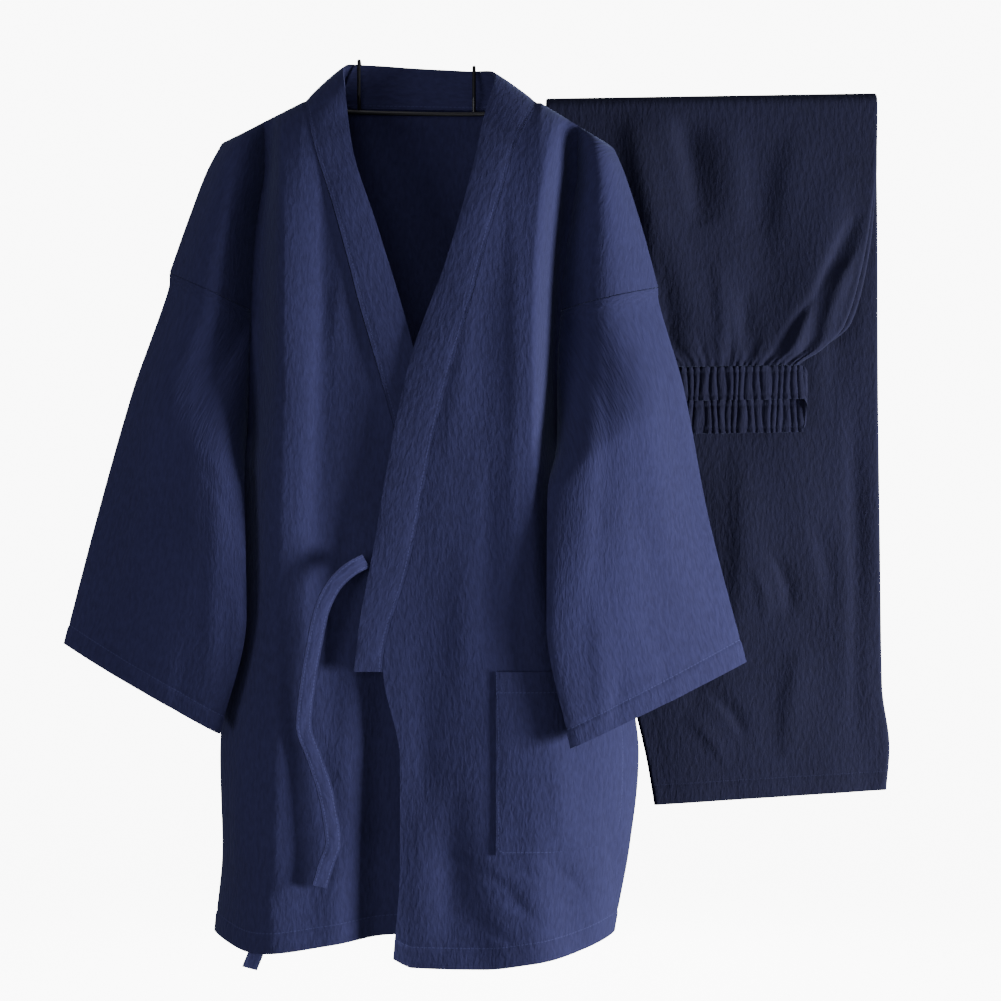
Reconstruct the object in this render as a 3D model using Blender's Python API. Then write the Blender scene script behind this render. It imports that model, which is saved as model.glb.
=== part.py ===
"""A kimono pyjama set hung from a rod: a cross-over jacket on a slim hanger bar, and trousers folded over the rod.

World frame: metres, +Z up, the viewer looks along +Y, origin on the rod's axis behind the jacket's neck.
Lengths below are in millimetres. The jacket's tables are measured from its shoulder plane: x to the viewer's
right, drop downwards from the neck, depth away from the shoulder plane (forward on a front, backward on the
back). The wearer's right is the viewer's left.
"""

from collections import namedtuple

import bpy
import numpy as np

MM = 0.001
SEAM = 0.3
CLOTH = 2.0
BAND_CLOTH = 3.0
TIE_CLOTH = 2.0
TROUSER_CLOTH = 1.8

JACKET_FORWARD = 70.0
JACKET_DROP = 8.0
LAP = 6.0
ROUND_OVER = 110.0
CHEST = 180.0
ARMPIT = 290.0
WING_BULGE = {"front": 34.0, "back": 28.0}

ROD_RADIUS = 2.5
ROD_SLOPE = 0.016
ROD_ENDS = (-85.0, 416.0)
HANGER_RADIUS = 2.0
HANGER_CLEARANCE = 3.1
BAR_INSIDE = 6.5
BAR_BELOW = 4.0
HOOK_RADIUS = 1.6
HOOK_PLACES = {"hook_right": -56.0, "hook_left": 48.0}

COLLECTION = "kimono_pyjama_set"
NAVY = (0.022, 0.032, 0.105, 1.0)
ROD_DARK = (0.02, 0.02, 0.024, 1.0)

Section = namedtuple("Section", "drop edge middle ridge ridge_depth side side_depth round")
INNER_FRONT = (
    Section(-7, -105, -111, -122, 46, -141, 14, 0.0),
    Section(44, -93, -104, -120, 48, -141, 14, 0.0),
    Section(88, -78, -95, -118, 51, -147, 13, 0.0),
    Section(132, -65, -88, -117, 54, -151, 12, 0.0),
    Section(180, -52, -82, -117, 57, -153, 11, 0.0),
    Section(235, -36, -74, -117, 58, -155, 8, 0.1),
    Section(290, -21, -66, -117, 60, -157, 0, 0.3),
    Section(325, -12, -61, -118, 61, -164, -1, 0.4),
    Section(404, 4, -54, -118, 62, -167, -2, 0.5),
    Section(498, 26, -46, -118, 64, -174, -6, 0.8),
    Section(579, 32, -44, -120, 66, -180, -8, 1.0),
    Section(667, 34, -44, -122, 68, -178, -8, 1.0),
    Section(752, 35, -44, -124, 70, -185, -8, 1.0),
)
OUTER_FRONT = (
    Section(-6, 108, 114, 122, 46, 142, 14, 0.0),
    Section(44, 85, 98, 112, 50, 142, 14, 0.0),
    Section(88, 72, 90, 105, 53, 137, 14, 0.0),
    Section(132, 58, 80, 101, 56, 131, 13, 0.0),
    Section(180, 45, 73, 99, 59, 127, 12, 0.0),
    Section(235, 29, 69, 98, 61, 124, 8, 0.1),
    Section(290, 15, 68, 98, 63, 124, 0, 0.3),
    Section(325, 8, 68, 98, 64, 132, -1, 0.35),
    Section(404, -7, 68, 98, 66, 141, -2, 0.45),
    Section(498, -31, 68, 98, 68, 181, -5, 0.7),
    Section(579, -16, 68, 98, 69, 196, -8, 1.0),
    Section(667, -16, 68, 98, 71, 188, -8, 1.0),
    Section(752, -22, 68, 98, 75, 174, -8, 1.0),
)

Middle = namedtuple("Middle", "drop front back_ridge back_centre")
MIDDLE = (
    Middle(-7, 36, 36, 30),
    Middle(44, 40, 38, 33),
    Middle(132, 46, 40, 35),
    Middle(219, 50, 40, 35),
    Middle(290, 54, 42, 36),
    Middle(404, 57, 44, 38),
    Middle(614, 59, 50, 42),
    Middle(752, 62, 54, 44),
)
MIDDLE_X = -5.0
BACK_RIDGES = (-115.0, 108.0)

Hem = namedtuple("Hem", "x drop")
INNER_HEM = (Hem(-185, 738), Hem(-145, 748), Hem(-25, 734), Hem(35, 731))
OUTER_HEM = (Hem(-22, 752), Hem(-5, 760), Hem(55, 761), Hem(98, 756), Hem(134, 750), Hem(174, 738))
BACK_HEM = (Hem(-185, 738), Hem(0, 742), Hem(174, 738))
HEM_LEVEL = 752.0
HEM_STARTS = 600.0

Fold = namedtuple("Fold", "x_top x_foot depth width drop_top drop_foot")
FRONT_FOLDS = (
    Fold(-88, -78, -6, 16, 40, 560),
    Fold(-60, -92, -5, 15, 330, 770),
    Fold(70, 40, -4, 22, 90, 470),
    Fold(30, 60, -5, 20, 640, 790),
    Fold(120, 150, -6, 18, 650, 790),
)
BACK_FOLDS = (
    Fold(-70, -84, -8, 20, 40, 700),
    Fold(-20, -32, -7, 22, 260, 790),
    Fold(36, 44, -6, 20, 120, 760),
    Fold(84, 78, -8, 18, 40, 640),
)

Silhouette = namedtuple("Silhouette", "x drop")
RIGHT_WING_EDGE = (Silhouette(-178, 30), Silhouette(-191, 54), Silhouette(-208, 98), Silhouette(-225, 146))
LEFT_WING_EDGE = (Silhouette(173, 34), Silhouette(181, 52), Silhouette(198, 104), Silhouette(213, 159))

NeckPoint = namedtuple("NeckPoint", "x drop depth")
BACK_NECK = (
    NeckPoint(-105, -7, 0),
    NeckPoint(-93, -6, 12),
    NeckPoint(-69, -5, 22),
    NeckPoint(-5, -4, 27),
    NeckPoint(57, -3, 22),
    NeckPoint(94, -5, 12),
    NeckPoint(108, -6, 0),
)

BandEdge = namedtuple("BandEdge", "drop x")
INNER_BAND_EDGE = (
    BandEdge(10, -64),
    BandEdge(44, -58),
    BandEdge(105, -38),
    BandEdge(193, -11),
    BandEdge(219, -4),
    BandEdge(263, 10),
    BandEdge(333, 25),
    BandEdge(404, 38),
    BandEdge(498, 62),
)
OUTER_BAND_EDGE = (
    BandEdge(10, 57),
    BandEdge(62, 46),
    BandEdge(140, 24),
    BandEdge(219, -5),
    BandEdge(263, -16),
    BandEdge(342, -31),
    BandEdge(391, -39),
    BandEdge(456, -51),
    BandEdge(498, -56),
)
CollarTop = namedtuple("CollarTop", "x drop depth")
COLLAR_TOP = (
    CollarTop(-67, -18, -17),
    CollarTop(-69, -36, -4),
    CollarTop(-62, -43, 12),
    CollarTop(-45, -44, 21),
    CollarTop(-5, -42, 27),
    CollarTop(40, -39, 22),
    CollarTop(60, -37, 12),
    CollarTop(68, -30, -4),
    CollarTop(63, -12, -17),
)

SleeveRing = namedtuple("SleeveRing", "along outer_x outer_drop outer_depth inner_x inner_drop inner_depth front back")
RIGHT_SLEEVE = (
    SleeveRing(0.30, -258, 252, 0, -155, 345, 46, 27, 24),
    SleeveRing(0.65, -290, 365, 0, -152, 452, 58, 22, 18),
    SleeveRing(1.00, -320, 480, 0, -177, 557, 44, 15, 12),
)
LEFT_SLEEVE = (
    SleeveRing(0.30, 236, 250, 0, 114, 347, 66, 28, 24),
    SleeveRing(0.65, 257, 362, 5, 113, 458, 82, 22, 16),
    SleeveRing(1.00, 291, 496, 12, 134, 566, 86, 14, 11),
)
SLEEVE_RINGS = 10

POCKET_TOP = 501.0
POCKET_FOOT = 658.0
LOWER_LEVELS = (
    *(217, 254, ARMPIT, 333, 370, 404, 440, 474),
    *(POCKET_TOP, 526, 552, 579, 606, 632),
    *(POCKET_FOOT, 690, 722, HEM_LEVEL),
)
UPPER_ROWS = 7
ARMPIT_ROW = UPPER_ROWS + LOWER_LEVELS.index(ARMPIT)
BAND_ROW = UPPER_ROWS + LOWER_LEVELS.index(POCKET_TOP)
POCKET_LAST_ROW = UPPER_ROWS + LOWER_LEVELS.index(POCKET_FOOT)
SWEEP_COLUMNS = 7
BACK_COLUMNS = 11
WING_COLUMNS = 6
POCKET_COLUMNS = (4, 11)
FLANK = 26.0
BAND_GAP = 0.7
THROAT_OUT = 9.0
THROAT_FORWARD = 4.0
THROAT_DROP = 9.0
THROAT_ALONG = 0.1

TiePoint = namedtuple("TiePoint", "x drop lift")
FRONT_TIE = (
    TiePoint(-46.3, 404, 6.5),
    TiePoint(-59, 411, 13),
    TiePoint(-74, 426, 15),
    TiePoint(-84, 447, 13),
    TiePoint(-90, 474, 10),
    TiePoint(-96, 509, 8),
    TiePoint(-100, 548, 6),
    TiePoint(-92, 572, 6),
    TiePoint(-81, 605, 8),
    TiePoint(-76, 631, 9),
    TiePoint(-74, 649, 9),
    TiePoint(-80, 668, 7),
    TiePoint(-86, 688, 6),
)
SIDE_TIE = (
    TiePoint(-151.6, 420, 10.2),
    TiePoint(-151.6, 450, 12),
    TiePoint(-152, 520, 18),
    TiePoint(-152, 620, 22),
    TiePoint(-148, 700, 26),
    TiePoint(-144, 745, 28),
    TiePoint(-151, 767, 30),
)
TIE_WIDTH = 13.0

LegLevel = namedtuple("LegLevel", "drop left right hollow lift")
FRONT_RUN = (
    LegLevel(0, 114, 420, 0.5, 0.0),
    LegLevel(50, 115, 420, 1.0, 1.0),
    LegLevel(110, 118, 416, 1.6, 2.5),
    LegLevel(165, 130, 407, 2.2, 4.0),
    LegLevel(205, 152, 394, 2.4, 5.0),
    LegLevel(226, 176, 374, 2.0, 5.5),
    LegLevel(241, 198, 352, 1.6, 5.5),
    LegLevel(270, 200, 345, 1.6, 5.5),
)
BACK_RUN = (
    LegLevel(0, 114, 420, 0.5, 0.0),
    LegLevel(100, 118, 422, 1.2, 1.0),
    LegLevel(250, 140, 423, 2.4, 3.0),
    LegLevel(400, 165, 425, 2.8, 4.0),
    LegLevel(540, 194, 427, 2.8, 4.0),
    LegLevel(600, 208, 434, 2.8, 4.0),
    LegLevel(640, 215, 431, 3.2, 4.0),
)
LegPiece = namedtuple("LegPiece", "name layer front_end back_end inset taper")
LEG_PIECES = (
    LegPiece("trouser_leg_right", 0, 270.0, 640.0, 0.0, 12.0),
    LegPiece("trouser_leg_left", 1, 240.0, 636.0, 6.0, 0.0),
)
TROUSER_FOLDS = (
    Fold(200, 247, 4, 26, 0, 250),
    Fold(330, 300, -3, 26, 20, 250),
    Fold(385, 340, 3, 24, 60, 280),
)

LEG_GAP = 0.4
HEM_SLANT = 0.05
LEG_COLUMNS = 12
LEG_FRONT_DROPS = (35, 75, 115, 155, 190, 218, 240)

WAIST_HEIGHT = 30.0
WAIST_TOP = 240.8
WAIST_STEP = 30.4
WAIST_ENDS = (195.5, 350.5)
WAIST_RUNS = (-17.2, -11.2)
WAIST_GATHERS = 48
WAIST_RIPPLE = 0.8


def clear_scene():
    for item in list(bpy.data.objects):
        bpy.data.objects.remove(item, do_unlink=True)


def material(name, color, roughness, metallic):
    made = bpy.data.materials.new(name)
    made.use_nodes = True
    surface = made.node_tree.nodes["Principled BSDF"]
    surface.inputs["Base Color"].default_value = color
    surface.inputs["Roughness"].default_value = roughness
    surface.inputs["Metallic"].default_value = metallic
    return made


def through(keys, values, at):
    """A smooth curve through the values at increasing keys, with no overshoot, read at `at`."""
    keys, values, at = np.asarray(keys, float), np.asarray(values, float), np.asarray(at, float)
    steps = np.diff(keys)
    slopes = np.diff(values) / steps
    tangents = np.zeros_like(values)
    rising = slopes[:-1] * slopes[1:] > 0
    both = np.where(rising, slopes[:-1] + slopes[1:], 1.0)
    tangents[1:-1] = np.where(rising, 2 * slopes[:-1] * slopes[1:] / both, 0.0)
    tangents[0], tangents[-1] = slopes[0], slopes[-1]
    at = np.clip(at, keys[0], keys[-1])
    i = np.clip(np.searchsorted(keys, at) - 1, 0, len(steps) - 1)
    t = (at - keys[i]) / steps[i]
    return (
        values[i] * (1 + 2 * t) * (1 - t) ** 2
        + tangents[i] * steps[i] * t * (1 - t) ** 2
        + values[i + 1] * t * t * (3 - 2 * t)
        - tangents[i + 1] * steps[i] * t * t * (1 - t)
    )


def column(rows, name, at, key="drop"):
    return through([getattr(row, key) for row in rows], [getattr(row, name) for row in rows], at)


def smoothstep(low, high, value):
    t = np.clip((np.asarray(value, float) - low) / (high - low), 0.0, 1.0)
    return t * t * (3 - 2 * t)


def spread(start, end, count):
    return np.linspace(start, end, count)


Sheet = namedtuple("Sheet", "points quads normals")


def sheet_of(points, quads, seams=None):
    """A cloth's middle surface. seams gives, by point, the direction that its thickness keeps to at a seam."""
    points, quads = np.asarray(points, float), np.asarray(quads, int)
    corners = points[quads]
    across = np.cross(corners[:, 2] - corners[:, 0], corners[:, 3] - corners[:, 1])
    normals = np.zeros_like(points)
    for corner in range(4):
        np.add.at(normals, quads[:, corner], across)
    normals /= np.maximum(np.linalg.norm(normals, axis=1), 1e-9)[:, None]
    for index, direction in (seams or {}).items():
        direction = np.asarray(direction, float) / np.linalg.norm(direction)
        normals[index] = direction if direction @ normals[index] >= 0 else -direction
    return Sheet(points, quads, normals)


def add_object(name, data, surface, parent=None):
    data.materials.append(surface)
    made = bpy.data.objects.new(name, data)
    bpy.data.collections[COLLECTION].objects.link(made)
    made.parent = parent
    return made


def closed_between(name, outer, inner, quads, surface, parent):
    """A wall from two matching skins, closed along the edges that only one face uses."""
    count = len(outer)
    edges = {}
    for quad in quads:
        for a, b in zip(quad, np.roll(quad, -1)):
            edges.setdefault((min(a, b), max(a, b)), []).append((a, b))
    halves = [(quad[0], quad[i], quad[i + 1]) for quad in quads for i in (1, 2)]
    faces = halves + [(c + count, b + count, a + count) for a, b, c in halves]
    rims = [uses[0] for uses in edges.values() if len(uses) == 1]
    faces += [(b, a, a + count, b + count) for a, b in rims]
    mesh = bpy.data.meshes.new(name)
    mesh.from_pydata((np.concatenate([outer, inner]) * MM).tolist(), [], faces)
    mesh.update()
    return add_object(name, mesh, surface, parent)


def wall(name, sheet, thickness, surface, parent):
    """A closed cloth wall, its middle surface moved half its thickness each way."""
    shift = sheet.normals * thickness / 2
    return closed_between(name, sheet.points + shift, sheet.points - shift, sheet.quads, surface, parent)


def grid_quads(rows, columns, closed=False):
    """Quads of a grid of points stored row by row; closed joins its last column to its first."""
    quads = []
    for r in range(rows - 1):
        for c in range(columns if closed else columns - 1):
            a = r * columns + c
            b = r * columns + (c + 1) % columns
            quads.append((a, b, b + columns, a + columns))
    return quads


def round_over(below):
    """How far a panel has come out to its full depth, this far below the shoulder line."""
    t = np.clip(np.asarray(below, float) / ROUND_OVER, 0.0, 1.0)
    return np.sqrt(np.maximum(1 - (1 - t) ** 2, 0.0))


def folds_at(folds, x, drop):
    """The height of the soft ridges (and, where it is below zero, troughs) at a place on a panel."""
    total = 0.0
    for fold in folds:
        t = np.clip((drop - fold.drop_top) / (fold.drop_foot - fold.drop_top), 0.0, 1.0)
        middle = fold.x_top + (fold.x_foot - fold.x_top) * t
        total = total + fold.depth * np.sin(np.pi * t) ** 0.7 * np.exp(-(((x - middle) / fold.width) ** 2))
    return total


def shoulder_drop(x):
    """The shoulder line's drop, from the neck out to the wing's corner on each side."""
    x = np.asarray(x, float)
    right = through((0, 73), (-7, 30), -105 - x)
    left = through((0, 65), (-6, 34), x - 108)
    return np.where(x < 0, right, left)


def side_sweep(ridge, ridge_depth, side, side_depth, roundness, t):
    """From a panel's ridge round to its side: a valley where roundness is 0, a rounded flank where it is 1."""
    x1 = ridge + (0.35 + 0.1 * roundness) * (side - ridge)
    x2 = side - 0.5 * (1 - roundness) * (side - ridge)
    turn_depth = side_depth + FLANK * roundness
    a, b, c, d = (1 - t) ** 3, 3 * t * (1 - t) ** 2, 3 * t * t * (1 - t), t**3
    return a * ridge + b * x1 + c * x2 + d * side, (a + b) * ridge_depth + c * turn_depth + d * side_depth


def front_depth(x, drop):
    """The surface that both fronts follow between their ridges."""
    middle = column(MIDDLE, "front", drop)
    right, left = [
        (column(rows, "ridge_depth", drop) - middle) * smoothstep(MIDDLE_X, column(rows, "ridge", drop), x)
        for rows in (INNER_FRONT, OUTER_FRONT)
    ]
    return middle + right + left


def drops_of(x, level, share, tops, hem):
    """The drop along one row: shared out below the shoulder line down to the chest, and led to the hem below."""
    drops = tops + share * (level - tops)
    to_hem = smoothstep(HEM_STARTS, HEM_LEVEL, level)
    return drops + to_hem * (column(hem, "drop", x, key="x") - HEM_LEVEL)


def front_row(table, hem, lap, level, share):
    """One row of a front, from its free edge to its groove or side seam."""
    top = float(shoulder_drop(table[0].ridge))
    read = top + share * (level - top)
    edge, middle, ridge, ridge_depth, side, side_depth, roundness = (
        float(column(table, name, read)) for name in Section._fields[1:]
    )
    x = np.concatenate([spread(edge, middle, 5)[:-1], spread(middle, ridge, 4)[:-1]])
    depth = front_depth(x, read) + lap * (1 - smoothstep(40, 95, x))
    side_x, side_y = side_sweep(ridge, ridge_depth, side, side_depth, roundness, spread(0, 1, SWEEP_COLUMNS))
    x, depth = np.concatenate([x, side_x]), np.concatenate([depth, side_y])
    tops = shoulder_drop(x)
    drop = drops_of(x, level, share, tops, hem)
    depth = depth + folds_at(FRONT_FOLDS, x, drop) * smoothstep(0, 20, abs(x - side))
    return np.stack([x, -depth * round_over(drop - tops), -drop], axis=1)


def back_flank(table, ridge_low, level, share):
    """Half of the back's row, from its ridge to its groove or side seam, as x and depth."""
    top = float(shoulder_drop(table[0].ridge))
    read = top + share * (level - top)
    side, side_depth, roundness = (float(column(table, name, read)) for name in ("side", "side_depth", "round"))
    if level >= ARMPIT:
        side_depth = -side_depth
    ridge = share * ridge_low + (1 - share) * table[0].ridge
    ridge += (side - ridge) * 0.45 * smoothstep(ARMPIT, POCKET_TOP, level)
    depth = float(column(MIDDLE, "back_ridge", read))
    x, flank = side_sweep(ridge, depth, side, side_depth, roundness, spread(0, 1, SWEEP_COLUMNS))
    return x, flank, float(column(MIDDLE, "back_centre", read))


def back_row(level, share):
    """One row of the back, from the wearer's right side to the left one."""
    right_x, right_depth, centre = back_flank(INNER_FRONT, BACK_RIDGES[0], level, share)
    left_x, left_depth, centre = back_flank(OUTER_FRONT, BACK_RIDGES[1], level, share)
    x = spread(right_x[0], left_x[0], BACK_COLUMNS)
    depth = through((x[0], MIDDLE_X, x[-1]), (right_depth[0], centre, left_depth[0]), x)
    x = np.concatenate([right_x[:0:-1], x, left_x[1:]])
    depth = np.concatenate([right_depth[:0:-1], depth, left_depth[1:]])
    neck = [point.x for point in BACK_NECK]
    in_neck = (x > neck[0]) & (x < neck[-1])
    tops = np.where(in_neck, through(neck, [point.drop for point in BACK_NECK], x), shoulder_drop(x))
    starts = np.where(in_neck, through(neck, [point.depth for point in BACK_NECK], x), 0.0)
    drop = drops_of(x, level, share, tops, BACK_HEM)
    depth = depth + folds_at(BACK_FOLDS, x, drop) * smoothstep(0, 20, np.minimum(x - x[0], x[-1] - x))
    return np.stack([x, starts + (depth - starts) * round_over(drop - tops), -drop], axis=1)


def wing_row(groove, edge, bulge, k):
    """One row of the wing over the hanger's end, from beside the groove out to the fold between front and back."""
    keys = spread(0, 1, len(edge))
    share = k / (UPPER_ROWS - 1)
    outer = np.array([through(keys, [p.x for p in edge], share), -through(keys, [p.drop for p in edge], share)])
    q = spread(0, 1, WING_COLUMNS + 1)[1:]
    places = groove[[0, 2]] + q[:, None] * (outer - groove[[0, 2]])
    rise = bulge * round_over(share * ROUND_OVER) * np.sin(np.pi * q**1.5)
    return np.stack([places[:, 0], groove[1] * (1 - q) + rise, places[:, 1]], axis=1)


def panel(rows, facing, wings):
    """A body panel's middle surface: its rows, and the wings beside the columns that wings names.

    facing is -1 on a front and 1 on the back. wings gives (column, edge) pairs, and the seams found are returned
    by edge: the armhole from the fold down to the armpit, as point numbers with their neighbours further in.
    """
    points = [np.array(row) for row in rows]
    columns = len(points[0])
    quads = grid_quads(len(rows), columns)
    count = len(rows) * columns
    seams, armholes = {}, []
    for c in range(columns):
        seams[c] = shoulder_normal(points[0][c])
        if abs(points[0][c][1]) < SEAM:
            points[0][c][1] = facing * SEAM / 2
    for at, edge in wings:
        bulge = facing * WING_BULGE["front" if facing < 0 else "back"]
        wing = [wing_row(points[k][at], edge, bulge, k) for k in range(UPPER_ROWS)]
        first = count
        starts = [first + k * WING_COLUMNS for k in range(UPPER_ROWS)]
        lines = [[k * columns + at, *range(s, s + WING_COLUMNS)] for k, s in enumerate(starts)]
        for upper, lower in zip(lines, lines[1:]):
            for i in range(WING_COLUMNS):
                quad = (upper[i], upper[i + 1], lower[i + 1], lower[i])
                quads.append(quad if at else quad[::-1])
        side = -1 if edge[0].x < 0 else 1
        for i, index in enumerate(lines[0][1:]):
            wing[0][i][1] = facing * SEAM / 2
            seams[index] = shoulder_normal(wing[0][i])
        for k in range(UPPER_ROWS):
            wing[k][-1][1] = facing * SEAM / 2
            seams[lines[k][-1]] = (side * 1.0, 0.0, 0.45)
        points += wing
        count += UPPER_ROWS * WING_COLUMNS
        inward = 1 if at == 0 else -1
        armhole = [(lines[-1][i], lines[-2][i]) for i in range(WING_COLUMNS, 0, -1)]
        armhole += [(lines[-1][0], lines[-2][0], lines[-1][0] + inward)]
        armhole += [(r * columns + at, r * columns + at + inward) for r in range(UPPER_ROWS, ARMPIT_ROW + 1)]
        armholes.append(armhole)
        for r in range(ARMPIT_ROW, len(rows)):
            points[r][at][1] += facing * SEAM / 2
            seams[r * columns + at] = (side, 0.0, 0.0)
    return sheet_of(np.concatenate(points), quads, seams), armholes


def shoulder_normal(point):
    """Straight up from the shoulder line, and leaning outwards as the line falls."""
    lean = 0.5 * smoothstep(95, 115, abs(point[0]))
    return (np.sign(point[0]) * lean, 0.0, 1.0)


def unit(vector):
    return vector / np.linalg.norm(vector)


def beyond(sheet, edge, gap):
    """A panel's edge points moved on past it by the gap. edge names each point, then its neighbours further in."""
    moved = []
    for here, *further_in in edge:
        away = sum(unit(sheet.points[here] - sheet.points[other]) for other in further_in)
        moved.append(sheet.points[here] + gap * unit(away))
    return np.array(moved)


def shares_along(points):
    steps = np.linalg.norm(np.diff(points, axis=0), axis=1)
    return np.minimum(np.concatenate([[0.0], np.cumsum(steps)]) / steps.sum(), 1.0)


def resampled(points, shares):
    points = np.asarray(points, float)
    keys = shares_along(points)
    return np.stack([np.interp(shares, keys, points[:, axis]) for axis in range(3)], axis=1)


def share_seam_normal(first, here, second, there):
    """Mitre a seam: both edges take the direction midway between their own."""
    sign = np.sign(first.normals[here] @ second.normals[there])
    middle = first.normals[here] + sign * second.normals[there]
    middle /= np.linalg.norm(middle)
    first.normals[here], second.normals[there] = middle, sign * middle


def sleeve(table, front, back):
    """A sleeve tube from the armhole seam to the cuff, through the throat and the rings of its table."""
    halves, tau = [], []
    for sheet, armhole in (front, back):
        halves.append(beyond(sheet, armhole, 2.4 * SEAM))
        tau.append(shares_along(halves[-1]))
    side = np.sign(table[0].outer_x)
    for half in halves:
        half[0] = (halves[0][0] + halves[1][0]) / 2
        half[-1] = (halves[0][-1] + halves[1][-1]) / 2 + np.array([side * 2.4, 0.0, 0.0])
    start = np.concatenate([halves[0], halves[1][-2:0:-1]])
    share = np.concatenate([tau[0], tau[1][-2:0:-1]])
    facing = np.concatenate([-np.ones(len(tau[0])), np.ones(len(tau[1]) - 2)])
    outward = np.outer(smoothstep(0.3, 0.9, share), (side * THROAT_OUT, -THROAT_FORWARD, 0.0))
    throat = start + outward + (0.0, 0.0, -THROAT_DROP)
    rings, keys = [start, throat], [0.0, THROAT_ALONG]
    for ring in table:
        x = ring.outer_x + share * (ring.inner_x - ring.outer_x)
        drop = ring.outer_drop + share * (ring.inner_drop - ring.outer_drop)
        depth = ring.outer_depth + share * (ring.inner_depth - ring.outer_depth)
        bulge = np.where(facing < 0, ring.front, -ring.back) * np.abs(np.sin(np.pi * share)) ** 0.8
        rings.append(np.stack([x, -(depth + bulge), -drop], axis=1))
        keys.append(ring.along)
    rings = np.array(rings)
    along = np.concatenate([[0.0, 0.05, THROAT_ALONG], spread(THROAT_ALONG, 1, SLEEVE_RINGS - 1)[1:]])
    points = np.zeros((len(along), len(start), 3))
    for i in range(len(start)):
        for axis in range(3):
            points[:, i, axis] = through(keys, rings[:, i, axis], along)
    count = len(start)
    made = sheet_of(points.reshape(-1, 3), grid_quads(len(along), count, closed=True))
    for (sheet, armhole), direction in ((front, 1), (back, -1)):
        for place in range(1, len(armhole) - 1):
            here, there = direction * place % count, armhole[place][0]
            share_seam_normal(made, here, sheet, there)
    return made


def band_edges(table, lap, seam_rows):
    """A front's free band edge, from the band's end up to where the collar's top begins."""
    lowest = -seam_rows[0][2]
    drops = spread(lowest, table[0].drop, 26)
    x = column(table, "x", drops)
    depth = (front_depth(x, drops) + lap) * round_over(drops + 7)
    return np.stack([x, -depth, -drops], axis=1)


def collar(inner, outer, back, surface, parent):
    """The long band: up the outer front's edge, round the back of the neck, and down the inner front's edge."""
    last = BAND_ROW + 1
    columns = inner.columns
    seam_inner = beyond(inner.sheet, [(r * columns, r * columns + 1) for r in range(last)], BAND_GAP)
    seam_outer = beyond(outer.sheet, [(r * columns, r * columns + 1) for r in range(last)], BAND_GAP)
    row = back.sheet.points[: back.columns]
    in_neck = [c for c in range(back.columns) if BACK_NECK[0].x + 6 < row[c][0] < BACK_NECK[-1].x - 6]
    seam_back = row[in_neck] + (0, 0, CLOTH / 2 + 1.5 * SEAM)
    top = np.array([(p.x, p.depth, -p.drop) for p in COLLAR_TOP])
    free_outer = np.concatenate([band_edges(OUTER_BAND_EDGE, LAP + 0.5, seam_outer[::-1]), top[:-3:-1]])
    free_inner = np.concatenate([band_edges(INNER_BAND_EDGE, 0.5, seam_inner[::-1]), top[:2]])
    seam_outer, seam_inner = seam_outer[::-1], seam_inner[::-1]
    seam = np.concatenate([seam_outer, seam_back[::-1], seam_inner[::-1]])
    keys = shares_along(np.concatenate([seam_outer[-1:], seam_back[::-1], seam_inner[-1:]]))
    free = np.concatenate([
        resampled(free_outer, shares_along(seam_outer)),
        resampled(top[1:-1][::-1], keys[1:-1]),
        resampled(free_inner, shares_along(seam_inner))[::-1],
    ])
    rows = [seam + (free - seam) * t for t in (0.0, 0.5, 1.0)]
    sheet = sheet_of(np.concatenate(rows), grid_quads(3, len(seam)))
    return wall("collar_band", sheet, BAND_CLOTH, surface, parent)


def strap(name, path, surface, parent):
    """A flat tie along a path of points, its width square to the path and facing the viewer."""
    path = np.asarray(path, float)
    along = np.gradient(path, axis=0)
    across = np.stack([-along[:, 2], np.zeros(len(path)), along[:, 0]], axis=1)
    across /= np.linalg.norm(across, axis=1)[:, None]
    rows = [path + across * TIE_WIDTH * t for t in (-0.5, 0.0, 0.5)]
    return wall(name, sheet_of(np.concatenate(rows), grid_quads(3, len(path))), TIE_CLOTH, surface, parent)


def smooth_path(points, count):
    keys = shares_along(points)
    return np.stack([through(keys, points[:, axis], spread(0, 1, count)) for axis in range(3)], axis=1)


def leg_layer(table, layer, drop):
    """How far out from the rod a leg's tube starts, and how hollow it is, at this drop."""
    hollow = column(table, "hollow", drop)
    return LEG_GAP + layer * (2 * TROUSER_CLOTH + hollow + LEG_GAP), hollow


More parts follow.
